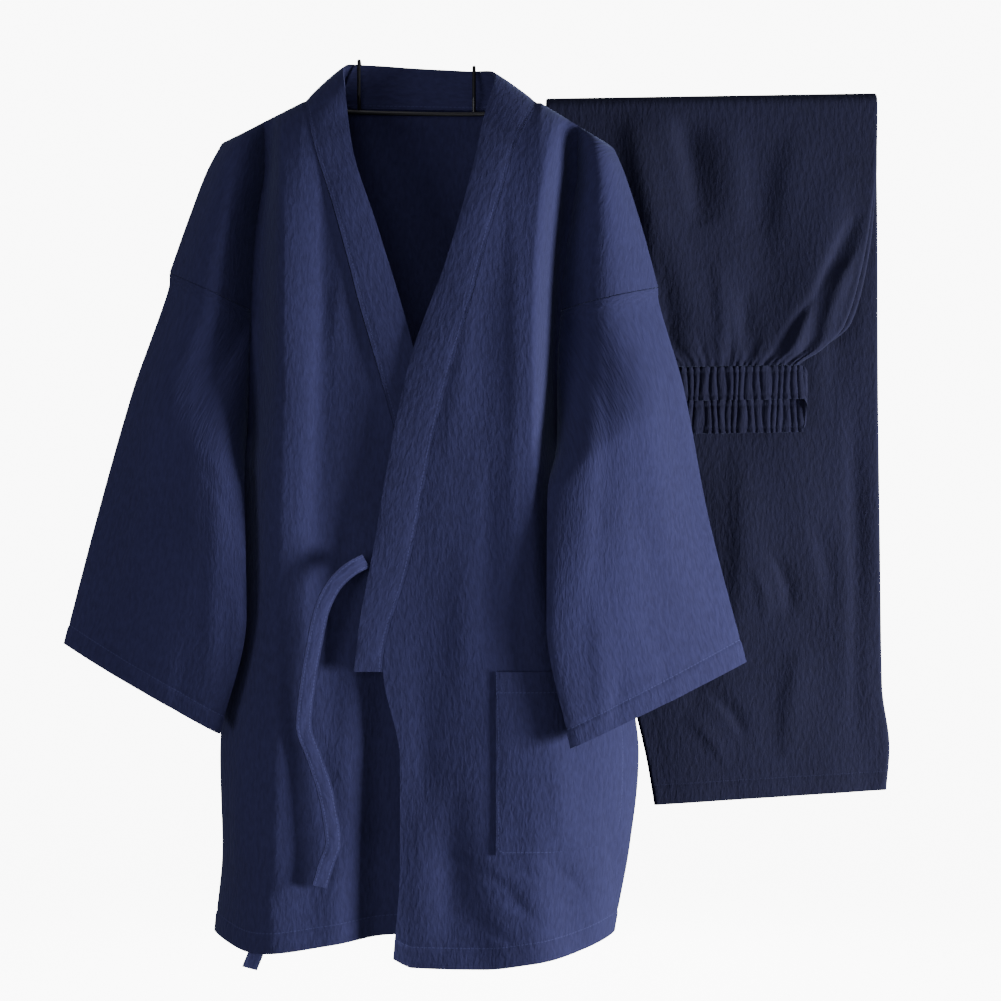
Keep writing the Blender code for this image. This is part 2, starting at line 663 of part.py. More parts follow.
def leg(piece, surface):
    """A leg tube folded over the rod, from its waist end in front to its hem behind."""
    front_drops = [*LEG_FRONT_DROPS, piece.front_end] if piece.front_end > LEG_FRONT_DROPS[-1] else LEG_FRONT_DROPS
    stations = [(FRONT_RUN, drop, 0.0) for drop in front_drops[::-1]]
    stations += [(FRONT_RUN, 0.0, turn) for turn in np.radians((0, 45, 90, 135, 180))]
    stations += [(BACK_RUN, drop, np.pi) for drop in piece.back_end * spread(0, 1, 7)[1:] ** 0.9]
    skins = [[], []]
    for table, drop, turn in stations:
        start, hollow = leg_layer(table, piece.layer, drop)
        narrowed = piece.inset * smoothstep(0, 200, drop) + (0 if turn else piece.taper * smoothstep(200, 240, drop))
        left, right = column(table, "left", drop) + narrowed / 2, column(table, "right", drop) - narrowed
        lift = column(table, "lift", drop)
        radius = TROUSER_CLOTH + hollow / 2
        caps = np.radians((45, 90, 135))
        shared = spread(column(table, "left", drop) + 15, column(table, "right", drop) - 15, LEG_COLUMNS - 2)
        runs = np.array([left + radius, *shared, right - radius])
        for skin, reach in zip(skins, (radius, hollow / 2)):
            x = np.concatenate([runs, runs[-1] + reach * np.sin(caps), runs[::-1], runs[0] - reach * np.sin(caps)])
            out = np.concatenate([
                np.full(LEG_COLUMNS, reach), reach * np.cos(caps), np.full(LEG_COLUMNS, -reach), -reach * np.cos(caps)
            ])
            out = ROD_RADIUS + start + radius + out
            if turn in (0.0, np.pi):
                to_edge = np.minimum(x - column(table, "left", drop), column(table, "right", drop) - x)
                folds = folds_at(TROUSER_FOLDS, x, drop) * smoothstep(15, 40, to_edge)
                out = out + lift + (0.0 if turn else folds)
            below = drop + (HEM_SLANT * (325 - x) * (drop / 640) ** 4 if turn else 0.0)
            y, z = -out * np.cos(turn), out * np.sin(turn) - below
            skin.append(np.stack([x, y, z + ROD_SLOPE * x], axis=1))
    count = len(skins[0][0])
    outer, inner = (np.concatenate(skin) for skin in skins)
    quads = grid_quads(len(stations), count, closed=True)
    quads = [quad if quad[0] % count < LEG_COLUMNS + 2 else quad[1:] + quad[:1] for quad in quads]
    return closed_between(piece.name, outer, inner, quads, surface, None)


def waistband(surface):
    """One gathered loop: its front run above, its rear run hanging lower, turned round at both ends."""
    (left, right), (front, rear) = WAIST_ENDS, WAIST_RUNS
    radius, middle = (rear - front) / 2, (front + rear) / 2
    run, turn = right - left, np.pi * radius
    count = WAIST_GATHERS * 4
    rows = []
    for height in (0.0, 1.0):
        line = []
        for at in spread(0, 2 * (run + turn), count + 1)[:-1]:
            ripple = WAIST_RIPPLE * np.cos(2 * np.pi * WAIST_GATHERS * at / (2 * (run + turn)))
            if at < run:
                x, y, lower = left + at, front - ripple, 0.0
            elif at < run + turn:
                angle = (at - run) / radius
                x, y = right + (radius + ripple) * np.sin(angle), middle - (radius + ripple) * np.cos(angle)
                lower = smoothstep(0, np.pi, angle)
            elif at < 2 * run + turn:
                x, y, lower = right - (at - run - turn), rear + ripple, 1.0
            else:
                angle = (at - 2 * run - turn) / radius
                x, y = left - (radius + ripple) * np.sin(angle), middle + (radius + ripple) * np.cos(angle)
                lower = 1 - smoothstep(0, np.pi, angle)
            drop = WAIST_TOP + lower * WAIST_STEP + height * WAIST_HEIGHT
            line.append((x, y, ROD_SLOPE * x - drop))
        rows.append(line)
    sheet = sheet_of(np.concatenate(rows), grid_quads(2, count, closed=True))
    return wall("waistband", sheet, TROUSER_CLOTH, surface, None)


def wire(name, points, radius, surface, parent=None):
    """A round wire through the points, with closed ends."""
    curve = bpy.data.curves.new(name, "CURVE")
    curve.dimensions = "3D"
    curve.bevel_depth = radius * MM
    curve.bevel_resolution = 2
    curve.use_fill_caps = True
    spline = curve.splines.new("POLY")
    spline.points.add(len(points) - 1)
    for control, point in zip(spline.points, np.asarray(points, float) * MM):
        control.co = (*point, 1.0)
    return add_object(name, curve, surface, parent)


def under_shoulder(x):
    """The hanger bar's centre below the shoulder seam at x."""
    return (x, 0.0, -float(shoulder_drop(x)) - CLOTH / 2 - HANGER_CLEARANCE - HANGER_RADIUS)


def hanger(surface, parent):
    """A slim bar under both shoulder seams, led round just inside the back of the neck between them."""
    arms_right = [under_shoulder(x) for x in spread(-142, -112, 4)]
    arms_left = [under_shoulder(x) for x in spread(114, 135, 4)]
    neck = [(p.x * 0.93, p.depth - BAR_INSIDE, -p.drop - BAR_BELOW) for p in BACK_NECK[1:-1]]
    points = np.array(arms_right + neck + arms_left)
    return wire("hanger", smooth_path(points, 30), HANGER_RADIUS, surface, parent)


def hook(name, x, surface):
    """From the hanger bar up inside the collar, over its top edge, and down round the rod behind."""
    neck = [point.x for point in BACK_NECK]
    shift = np.array([0.0, -JACKET_FORWARD, -JACKET_DROP])
    bar_y = through(neck, [p.depth for p in BACK_NECK], x / 0.93) - BAR_INSIDE
    bar_z = -through(neck, [p.drop for p in BACK_NECK], x / 0.93) - BAR_BELOW
    top = sorted(COLLAR_TOP, key=lambda point: point.x)
    top_z = -through([p.x for p in top], [p.drop for p in top], x)
    top_y = through([p.x for p in top], [p.depth for p in top], x)
    foot = bar_z + HANGER_RADIUS + 1.5 * SEAM
    wall_off = BAND_CLOTH / 2 + HOOK_RADIUS + 4.8
    crest = top_z + HOOK_RADIUS + SEAM + 1.0
    points = [
        (x, bar_y, foot),
        (x, min(bar_y, top_y - wall_off), foot + 12),
        (x, top_y - wall_off, top_z - 2),
        (x, top_y - wall_off + 1.5, crest),
        (x, top_y, crest + 1.0),
        (x, top_y + wall_off, crest - 0.5),
    ]
    points = [tuple(np.array(point) + shift) for point in points]
    reach = ROD_RADIUS + HOOK_RADIUS + SEAM
    rod_z = ROD_SLOPE * x
    points += [(x, -24.0, rod_z + 22.0), (x, -9.0, rod_z + 9.0)]
    points += [(x, -reach * np.cos(a), rod_z + reach * np.sin(a)) for a in np.radians((65, 100, 135, 170, 205, 240))]
    return wire(name, points, HOOK_RADIUS, surface)


def rod(surface):
    left, right = ROD_ENDS
    points = [(x, 0.0, ROD_SLOPE * x) for x in (left, right)]
    made = wire("rod", points, ROD_RADIUS, surface)
    made.data.bevel_resolution = 4
    return made


Panel = namedtuple("Panel", "sheet armholes columns")


def jacket(navy, dark):
    frame = bpy.data.objects.new("jacket_frame", None)
    bpy.data.collections[COLLECTION].objects.link(frame)
    frame.location = (0.0, -JACKET_FORWARD * MM, -JACKET_DROP * MM)
    levels = [(CHEST, share) for share in spread(0, 1, UPPER_ROWS) ** 1.4] + [(level, 1.0) for level in LOWER_LEVELS]
    fronts = {}
    for name, table, hem, lap, edge in (
        ("jacket_front_right", INNER_FRONT, INNER_HEM, 0.0, RIGHT_WING_EDGE),
        ("jacket_front_left", OUTER_FRONT, OUTER_HEM, LAP, LEFT_WING_EDGE),
    ):
        rows = [front_row(table, hem, lap, level, share) for level, share in levels]
        columns = len(rows[0])
        sheet, armholes = panel(rows, -1, [(columns - 1, edge)])
        fronts[name] = Panel(sheet, armholes, columns)
    rows = [back_row(level, share) for level, share in levels]
    columns = len(rows[0])
    sheet, armholes = panel(rows, 1, [(0, RIGHT_WING_EDGE), (columns - 1, LEFT_WING_EDGE)])
    back = Panel(sheet, armholes, columns)
    inner, outer = fronts["jacket_front_right"], fronts["jacket_front_left"]
    sheets = {"jacket_back": back.sheet, **{name: made.sheet for name, made in fronts.items()}}
    sheets["sleeve_right"] = sleeve(RIGHT_SLEEVE, (inner.sheet, inner.armholes[0]), (back.sheet, back.armholes[0]))
    sheets["sleeve_left"] = sleeve(LEFT_SLEEVE, (outer.sheet, outer.armholes[0]), (back.sheet, back.armholes[1]))
    for name, sheet in sheets.items():
        wall(name, sheet, CLOTH, navy, frame)
    collar(inner, outer, back, navy, frame)
    pocket(outer, navy, frame)
    ties(navy, frame)
    hanger(dark, frame)


def pocket(outer, surface, parent):
    """The patch pocket: the outer front's own points over its area, moved out."""
    rows = range(BAND_ROW, POCKET_LAST_ROW + 1)
    columns = range(POCKET_COLUMNS[0], POCKET_COLUMNS[1] + 1)
    index = [r * outer.columns + c for r in rows for c in columns]
    normals = outer.sheet.normals[index]
    points = outer.sheet.points[index] + normals * (CLOTH + SEAM) * (-np.sign(normals[:, 1:2]))
    return wall("pocket", Sheet(points, grid_quads(len(rows), len(columns)), normals), CLOTH, surface, parent)


def ties(surface, parent):
    x, drop, lift = (np.array([getattr(p, name) for p in FRONT_TIE], float) for name in TiePoint._fields)
    path = np.stack([x, -(front_depth(x, drop) + lift), -drop], axis=1)
    strap("tie_front", smooth_path(path, 26), surface, parent)
    path = np.array([(p.x, -p.lift, -p.drop) for p in SIDE_TIE], float)
    strap("tie_side", smooth_path(path, 14), surface, parent)


def main():
    clear_scene()
    collection = bpy.data.collections.new(COLLECTION)
    bpy.context.scene.collection.children.link(collection)
    navy = material("navy_cloth", NAVY, 0.9, 0.0)
    dark = material("dark_metal", ROD_DARK, 0.45, 0.8)
    jacket(navy, dark)
    for piece in LEG_PIECES:
        leg(piece, navy)
    waistband(navy)
    rod(dark)
    for name, x in HOOK_PLACES.items():
        hook(name, x, dark)


main()
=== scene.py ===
"""The looks of a hung kimono pyjama set: creases, gathers, hems and stitching over its solids.

Frame: metres, +Z up, the viewer looks along +Y, origin on the rod's axis behind the jacket's neck.
Lengths below are in millimetres. The jacket's tables are measured from its shoulder plane: x to the
viewer's right, drop downwards from the neck, depth away from the shoulder plane (forward on a front,
backward on the back). The wearer's right is the viewer's left.
"""

from collections import namedtuple

import bpy
import numpy as np
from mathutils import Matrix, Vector


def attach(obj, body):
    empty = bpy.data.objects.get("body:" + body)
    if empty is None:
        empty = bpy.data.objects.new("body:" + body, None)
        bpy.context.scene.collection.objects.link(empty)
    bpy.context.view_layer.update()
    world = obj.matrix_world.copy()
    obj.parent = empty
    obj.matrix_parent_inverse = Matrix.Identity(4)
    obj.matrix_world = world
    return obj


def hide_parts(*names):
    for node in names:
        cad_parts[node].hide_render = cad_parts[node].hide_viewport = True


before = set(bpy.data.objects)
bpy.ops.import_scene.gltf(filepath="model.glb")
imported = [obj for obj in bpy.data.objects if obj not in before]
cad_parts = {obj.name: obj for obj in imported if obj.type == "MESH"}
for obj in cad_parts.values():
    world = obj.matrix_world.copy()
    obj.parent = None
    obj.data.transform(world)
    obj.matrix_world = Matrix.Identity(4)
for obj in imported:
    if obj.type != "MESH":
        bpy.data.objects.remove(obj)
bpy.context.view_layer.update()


def rows_of(kind, *rows):
    return tuple(kind(*row) for row in rows)


def joined(*parts):
    return np.concatenate(parts)


def paired(*parts):
    return np.stack(parts, axis=1)


# Cloth thicknesses and the gap at a seam
MM = 0.001
SEAM = 0.3
CLOTH = 2.0
BAND_CLOTH = 3.0
TIE_CLOTH = 2.0
TROUSER_CLOTH = 1.8

# How the jacket hangs, and where its panels round over
JACKET_FORWARD = 70.0
JACKET_DROP = 8.0
LAP = 6.0
ROUND_OVER = 110.0
CHEST = 180.0
ARMPIT = 290.0
WING_BULGE = {"front": 34.0, "back": 28.0}
WING_CREST = 0.9

ROD_RADIUS = 2.5
ROD_SLOPE = 0.016
# Near-black steel: the rod's own colour; on the hanger inside the neck it is painted shade, standing for
# the shadow line along the back collar's seam
ROD_DARK = (0.02, 0.02, 0.024, 1.0)

# Sections of the fronts, read down from the shoulder
Section = namedtuple("Section", "drop edge middle ridge ridge_depth side side_depth round")
INNER_FRONT = rows_of(
    Section,
    (-7, -105, -111, -122, 46, -141, 6, 0),
    (44, -93, -104, -120, 48, -141, 4, 0),
    (88, -78, -95, -118, 51, -147, 3, 0),
    (132, -65, -88, -117, 54, -151, 3, 0),
    (180, -52, -82, -117, 57, -153, 3, 0),
    (235, -36, -74, -117, 58, -155, 2, 0.1),
    (290, -21, -66, -117, 60, -157, 0, 0.3),
    (325, -12, -61, -118, 61, -164, -1, 0.4),
    (404, 4, -54, -118, 62, -167, -2, 0.5),
    (498, 26, -46, -118, 64, -174, -6, 0.8),
    (579, 32, -44, -120, 66, -180, -8, 1),
    (667, 34, -44, -122, 68, -178, -8, 1),
    (752, 35, -44, -124, 70, -185, -8, 1),
)
OUTER_FRONT = rows_of(
    Section,
    (-6, 108, 114, 122, 46, 142, 6, 0),
    (44, 85, 98, 112, 50, 142, 4, 0),
    (88, 72, 90, 105, 53, 137, 3, 0),
    (132, 58, 80, 101, 56, 131, 3, 0),
    (180, 45, 73, 99, 59, 127, 3, 0),
    (235, 29, 69, 98, 61, 124, 2, 0.1),
    (290, 15, 68, 98, 63, 124, 0, 0.3),
    (325, 8, 68, 98, 64, 132, -1, 0.35),
    (404, -7, 68, 98, 66, 141, -2, 0.45),
    (498, -31, 68, 98, 68, 181, -5, 0.7),
    (579, -16, 68, 98, 69, 196, -8, 1),
    (667, -16, 68, 98, 71, 188, -8, 1),
    (752, -22, 68, 98, 75, 174, -8, 1),
)

# Depths between the ridges of both fronts and of the back
Middle = namedtuple("Middle", "drop front back_ridge back_centre")
MIDDLE = rows_of(
    Middle,
    (-7, 36, 36, 30),
    (44, 40, 38, 33),
    (132, 46, 40, 35),
    (219, 50, 40, 35),
    (290, 54, 42, 36),
    (404, 57, 44, 38),
    (614, 59, 50, 42),
    (752, 62, 54, 44),
)
MIDDLE_X = -5.0
BACK_RIDGES = (-115.0, 108.0)

# Hem lines, left to right
Outline = namedtuple("Outline", "x drop")
INNER_HEM = rows_of(Outline, (-185, 738), (-145, 748), (-25, 734), (35, 731))
OUTER_HEM = rows_of(Outline, (-22, 752), (-5, 760), (55, 761), (98, 756), (134, 750), (174, 738))
BACK_HEM = rows_of(Outline, (-185, 738), (0, 742), (174, 738))
HEM_LEVEL = 752.0
HEM_STARTS = 600.0

# Broad folds
Fold = namedtuple("Fold", "x_top x_foot depth width drop_top drop_foot")
FRONT_FOLDS = rows_of(
    Fold,
    (-88, -78, -6, 16, 40, 560),
    (-60, -92, -5, 15, 330, 770),
    (70, 40, -4, 22, 90, 470),
    (30, 60, -5, 20, 640, 790),
    (120, 150, -6, 18, 650, 790),
)
BACK_FOLDS = rows_of(
    Fold,
    (-70, -84, -8, 20, 40, 700),
    (-20, -32, -7, 22, 260, 790),
    (36, 44, -6, 20, 120, 760),
    (84, 78, -8, 18, 40, 640),
)

RIGHT_WING_EDGE = rows_of(Outline, (-178, 30), (-191, 54), (-208, 98), (-225, 146))
LEFT_WING_EDGE = rows_of(Outline, (173, 34), (181, 52), (198, 104), (213, 159))

# The back's neck line
NeckPoint = namedtuple("NeckPoint", "x drop depth")
BACK_NECK = rows_of(
    NeckPoint,
    (-105, -7, 0),
    (-93, -6, 12),
    (-69, -5, 22),
    (-5, -4, 27),
    (57, -3, 22),
    (94, -5, 12),
    (108, -6, 0),
)

# The collar band's free edges, and its top round the neck
BandEdge = namedtuple("BandEdge", "drop x")
INNER_BAND_EDGE = rows_of(
    BandEdge,
    (10, -64),
    (44, -58),
    (105, -38),
    (193, -11),
    (219, -4),
    (263, 10),
    (333, 25),
    (404, 38),
    (498, 62),
)
OUTER_BAND_EDGE = rows_of(
    BandEdge,
    (10, 57),
    (62, 46),
    (140, 24),
    (219, -5),
    (263, -16),
    (342, -31),
    (391, -39),
    (456, -51),
    (498, -56),
)
COLLAR_TOP = rows_of(
    NeckPoint,
    (-67, -18, -17),
    (-69, -36, -4),
    (-62, -43, 12),
    (-45, -44, 21),
    (-5, -42, 27),
    (40, -39, 22),
    (60, -37, 12),
    (68, -30, -4),
    (63, -12, -17),
)

# Sleeves, from the armhole to the cuff
SleeveRing = namedtuple(
    "SleeveRing", "along outer_x outer_drop outer_depth inner_x inner_drop inner_depth front back"
)
RIGHT_SLEEVE = rows_of(
    SleeveRing,
    (0.30, -258, 252, 0, -155, 345, 46, 27, 24),
    (0.65, -290, 365, 0, -152, 452, 58, 22, 18),
    (1.00, -320, 480, 0, -177, 557, 44, 15, 12),
)
LEFT_SLEEVE = rows_of(
    SleeveRing,
    (0.30, 236, 250, 0, 114, 347, 66, 28, 24),
    (0.65, 257, 362, 5, 113, 458, 82, 22, 16),
    (1.00, 291, 496, 12, 134, 566, 86, 14, 11),
)
SEAM_SHOWN = 0.06
SLEEVE_ALONG = joined(
    (0.0, 0.004, 0.008, 0.014, 0.025, 0.05, 0.075),
    np.linspace(0.1, 0.9, 50),
    np.linspace(0.905, 1.0, 20),
)
SLEEVE_AROUND = 190.0

POCKET_TOP = 501.0
POCKET_FOOT = 658.0


def finer(stations):
    """Levels between the stations, (level, step) pairs, each stretch divided into equal steps."""
    levels = []
    for (start, step), (end, _) in zip(stations, stations[1:]):
        levels += np.linspace(start, end, int(np.ceil((end - start) / step)) + 1)[:-1].tolist()
    return (*levels[1:], stations[-1][0])


LOWER_LEVELS = finer((
    (CHEST, 6.0), (ARMPIT, 6.0), (POCKET_TOP, 3.0), (POCKET_TOP + 24.0, 5.5),
    (POCKET_FOOT, 6.0), (HEM_LEVEL - 24.0, 1.6), (HEM_LEVEL, 1.0),
))
UPPER_ROWS = 26
ARMPIT_ROW = UPPER_ROWS + LOWER_LEVELS.index(ARMPIT)
BAND_ROW = UPPER_ROWS + LOWER_LEVELS.index(POCKET_TOP)
POCKET_LAST_ROW = UPPER_ROWS + LOWER_LEVELS.index(POCKET_FOOT)
SWEEP_COLUMNS = 25
BACK_COLUMNS = 41
WING_COLUMNS = 18
EDGE_COLUMNS = 13
RIDGE_COLUMNS = 10
BAND_ROWS = 13
POCKET_COLUMNS = (12, 37)
FLANK = 26.0
BAND_GAP = 0.25
THROAT_FORWARD = 9.0
THROAT_DROP = 9.0
THROAT_ALONG = 0.1

# Ties
TiePoint = namedtuple("TiePoint", "x drop lift")
FRONT_TIE = rows_of(
    TiePoint,
    (-46.3, 404, 6.5),
    (-59, 411, 13),
    (-74, 426, 15),
    (-84, 447, 13),
    (-90, 474, 10),
    (-96, 509, 8),
    (-100, 548, 6),
    (-92, 572, 6),
    (-81, 605, 8),
    (-76, 631, 9),
    (-74, 649, 9),
    (-80, 668, 7),
    (-86, 688, 6),
)
SIDE_TIE = rows_of(
    TiePoint,
    (-151.6, 420, 10.2),
    (-151.6, 450, 12),
    (-152, 520, 18),
    (-152, 620, 22),
    (-148, 700, 26),
    (-144, 745, 28),
    (-151, 767, 30),
)
TIE_WIDTH = 13.0
TIE_TURN = 0.42
TIE_POINTS = 150

# Trousers, each way down from the rod
LegLevel = namedtuple("LegLevel", "drop left right hollow lift")
FRONT_RUN = rows_of(
    LegLevel,
    (0, 114, 420, 0.5, 0.0),
    (50, 115, 420, 1.0, 1.0),
    (110, 118, 416, 1.6, 2.5),
    (165, 130, 407, 2.2, 4.0),
    (205, 152, 394, 2.4, 5.0),
    (226, 176, 374, 2.0, 5.5),
    (241, 198, 352, 1.6, 5.5),
    (270, 200, 345, 1.6, 5.5),
)
BACK_RUN = rows_of(
    LegLevel,
    (0, 114, 420, 0.5, 0.0),
    (100, 118, 422, 1.2, 1.0),
    (250, 140, 423, 2.4, 3.0),
    (400, 165, 425, 2.8, 4.0),
    (540, 194, 427, 2.8, 4.0),
    (600, 208, 434, 2.8, 4.0),
    (640, 215, 431, 3.2, 4.0),
)
LegPiece = namedtuple("LegPiece", "name layer front_end back_end inset taper")
LEG_PIECES = rows_of(
    LegPiece,
    ("trouser_leg_right", 0, 270.0, 640.0, 0.0, 12.0),
    ("trouser_leg_left", 1, 240.0, 636.0, 6.0, 0.0),
)
TROUSER_FOLDS = rows_of(
    Fold,
    (200, 247, 4, 26, 0, 250),
    (330, 300, -3, 26, 20, 250),
    (385, 340, 3, 24, 60, 280),
)

LEG_GAP = 0.4
HEM_SLANT = 0.05
LEG_COLUMNS = 84

# Waistband
WAIST_HEIGHT = 30.0
WAIST_TOP = 240.8
WAIST_STEP = 30.4
WAIST_ENDS = (195.5, 350.5)
WAIST_RUNS = (-17.2, -11.2)
WAIST_GATHERS = 48
WAIST_FULLNESS = 1.6
WAIST_STITCH = 5.0

# Hems, stitch lines and unevenness
HEM_TURN = 18.0
HEM_RAISED = 0.5
STITCH_SUNK = 0.7
SEAM_SUNK = 0.9
BAND_STITCH = 3.0
TIE_STITCH = 4.6
POCKET_STITCH = 2.5
UNEVEN = 0.7
REAR_LOWER = 14.0
REAR_SHARE = 0.81

# Creases; below zero they are troughs
Crease = namedtuple("Crease", "x_top drop_top x_foot drop_foot depth width bow")
INNER_FRONT_CREASES = rows_of(
    Crease,
    (-26, 440, -34, 900, -20, 34, 0),
    (-58, 60, -56, 520, -7, 24, 0),
    (-82, 30, -92, 440, -3.0, 9, 2),
    (-52, 220, -60, 470, 1.6, 12, 3),
    (-104, 470, -98, 748, -2.6, 11, -4),
    (-122, 480, -130, 748, 2.2, 11, 3),
    (-70, 600, -62, 745, -1.8, 9, 2),
    (-150, 650, -112, 736, -1.6, 6, 3),
    (-158, 560, -160, 700, 1.4, 8, 0),
    (-20, 520, -30, 735, 1.8, 14, 0),
    (-60, 120, -78, 230, 1.2, 8, -2),
)
OUTER_FRONT_CREASES = rows_of(
    Crease,
    (38, 380, 30, 560, 1.8, 8, 2),
    (64, 300, 62, 500, -2.6, 9, -2),
    (84, 60, 84, 420, 1.6, 9, 2),
    (-4, 470, 4, 640, -2.2, 9, 3),
    (6, 590, -4, 758, 2.8, 13, -3),
    (30, 600, 22, 757, -2.6, 9, 3),
    (36, 668, 92, 704, -2.0, 4.5, 4),
    (48, 690, 112, 726, -1.9, 4.5, 5),
    (34, 716, 86, 742, -1.5, 4, 3),
    (66, 668, 126, 694, -1.5, 4, 3),
    (104, 664, 150, 706, -1.7, 5, 4),
    (120, 700, 166, 716, -1.2, 4, -2),
    (158, 610, 176, 706, -2.0, 7, 3),
    (26, 650, 52, 668, 1.0, 4, 0),
    (118, 560, 124, 650, 1.6, 9, 0),
    (44, 150, 22, 320, 1.3, 10, -3),
)
BACK_CREASES = rows_of(
    Crease,
    (-96, 60, -88, 330, 2.4, 10, 3),
    (-52, 180, -60, 560, -3.0, 12, -5),
    (4, 60, -8, 420, 2.2, 12, 4),
    (58, 140, 66, 520, -2.8, 11, 4),
    (96, 50, 100, 300, 2.0, 9, -2),
    (-120, 380, -104, 740, -3.2, 12, 6),
    (22, 430, 12, 742, 3.0, 13, -5),
    (-30, 560, -40, 742, 2.4, 12, 3),
    (112, 360, 96, 730, -3.0, 12, -6),
    (140, 420, 132, 640, 2.0, 9, 3),
    (-148, 300, -120, 372, -2.2, 7, 4),
    (128, 300, 96, 362, -2.2, 7, -4),
    (-90, 668, -42, 700, -1.6, 5, 3),
    (54, 676, 104, 702, -1.6, 5, 3),
    (-66, 8, -40, 66, -1.6, 8, 4),
    (60, 8, 36, 70, -1.6, 8, -4),
)
RIGHT_SLEEVE_CREASES = rows_of(
    Crease,
    (-190, 190, -232, 470, -3.2, 20, -6),
    (-172, 220, -188, 560, 2.0, 12, 4),
    (-226, 320, -282, 470, 1.8, 14, 4),
    (-168, 430, -176, 560, -2.0, 8, 2),
    (-206, 480, -220, 548, -1.4, 7, 2),
    (-250, 440, -262, 508, 1.2, 7, 0),
    (-188, 330, -164, 372, -1.2, 5, 3),
)
LEFT_SLEEVE_CREASES = rows_of(
    Crease,
    (170, 200, 150, 480, -3.0, 14, 4),
    (196, 190, 236, 470, 2.6, 16, -5),
    (214, 240, 268, 470, -2.2, 12, 4),
    (188, 340, 194, 392, -1.6, 4, -3),
    (196, 372, 206, 408, -1.2, 3.5, -2),
    (194, 448, 216, 478, -1.7, 4, -4),
    (206, 470, 224, 512, -1.4, 4, -3),
    (150, 420, 160, 560, 2.0, 9, 3),
    (222, 500, 228, 548, 1.4, 7, 0),
    (176, 500, 170, 552, -1.5, 7, 0),
    (138, 340, 164, 380, -1.3, 5, 3),
)
LEG_FRONT_CREASES = rows_of(
    Crease,
    (226, -30, 258, 110, -7.0, 14, 5),
    (190, -20, 236, 190, 4.5, 14, -6),
    (214, 110, 228, 232, -3.4, 10, 4),
    (404, 96, 350, 236, -4.2, 7, -7),
    (412, 120, 366, 232, 3.4, 7, -8),
    (388, 150, 334, 238, 2.8, 6, -5),
    (372, 168, 322, 238, -2.8, 6, -4),
    (300, 10, 306, 120, -2.4, 16, 4),
    (348, 20, 330, 150, 2.4, 16, -4),
    (270, 140, 276, 232, 2.0, 8, 3),
    (296, 168, 298, 236, -2.0, 7, 0),
)
LEG_BACK_CREASES = rows_of(
    Crease,
    (322, 412, 340, 472, -2.4, 6, 6),
    (306, 424, 318, 476, 1.6, 6, 4),
    (264, 540, 300, 584, -2.4, 6, 5),
    (246, 560, 282, 606, 1.6, 7, 3),
    (362, 380, 380, 470, -1.8, 9, 4),
    (352, 500, 340, 610, 2.2, 12, -4),
    (296, 300, 288, 520, 2.4, 15, 6),
    (250, 330, 256, 560, -2.8, 14, -5),
    (398, 260, 402, 600, -2.2, 10, 3),
    (220, 60, 236, 300, -3.0, 16, 5),
    (330, 60, 322, 300, 3.0, 18, -5),
    (286, 40, 292, 240, -2.4, 14, 3),
    (376, 90, 382, 300, -2.6, 14, 4),
)

# Cotton. The crinkles' crests are painted lighter and their troughs darker, as painted highlight and
# painted shade
SHEEN = 0.16
SHEEN_TINT = (0.30, 0.36, 0.62, 1.0)
# The cloth's random tone runs between the next two colours; the crinkles' troughs are painted in the
# first as painted shade, and their crests in the second as painted highlight
CLOTH_DARK_TONE_AND_TROUGH_SHADE = (0.0104, 0.0104, 0.039, 1.0)
CLOTH_LIGHT_TONE_AND_CREST_HIGHLIGHT = (0.0215, 0.0223, 0.079, 1.0)
CLOTH_NAP = (0.038, 0.041, 0.120, 1.0)
CRINKLE_HEIGHT = 0.00032
Grain = namedtuple("Grain", "across along detail roughness distortion")
CRINKLE = Grain(0.0038, 0.0095, 1.5, 0.5, 0.2)
TUFTS = Grain(0.0021, 0.0052, 1.0, 0.5, 0.0)
WEFT = Grain(0.0034, 0.0009, 1.0, 0.5, 0.0)
WARP = Grain(0.0009, 0.0034, 1.0, 0.5, 0.0)
DRIFT = Grain(0.085, 0.14, 3.0, 0.55, 0.0)
# The trousers' colours are darkened to this share as painted shade, for the shadow they hang in behind
# the jacket
TROUSER_PAINTED_SHADE = 0.38
STITCH_WIDTH = 0.0009
STITCH_STEP = 0.0034
STITCH_SHARE = 0.68
SHARP_ANGLE = 58
FAR = 1000.0
WHITE = (1.0, 1.0, 1.0, 1.0)

# Backdrop, lights and camera, in metres and watts
FLOOR_Z = -1.15
BACKDROP_Y = 3.2
BACKDROP_REACH = 6.0
BACKDROP_TOP = 4.0
BACKDROP_TURN = 0.6
WORLD_LIGHT = 0.10
PAPER_LIGHT = 9.0
LAMPS = (
    ("key", (1.75, -0.6, -0.68), 0.6, 92.0),
    ("front", (-0.3, -2.7, 0.1), 1.2, 13.0),
    ("low_left", (-1.5, -1.7, -0.9), 0.9, 24.0),
    ("top", (0.2, -0.9, 1.6), 0.9, 6.0),
    ("rear", (0.1, 2.6, 0.1), 1.0, 60.0),
)
LAMPS_AIM = (0.06, 0.0, -0.36)
CAMERA_X = 0.072
CAMERA_Z = -0.359
CAMERA_AWAY = 2.4
FRAME_WIDTH = 0.901
SENSOR = 36.0

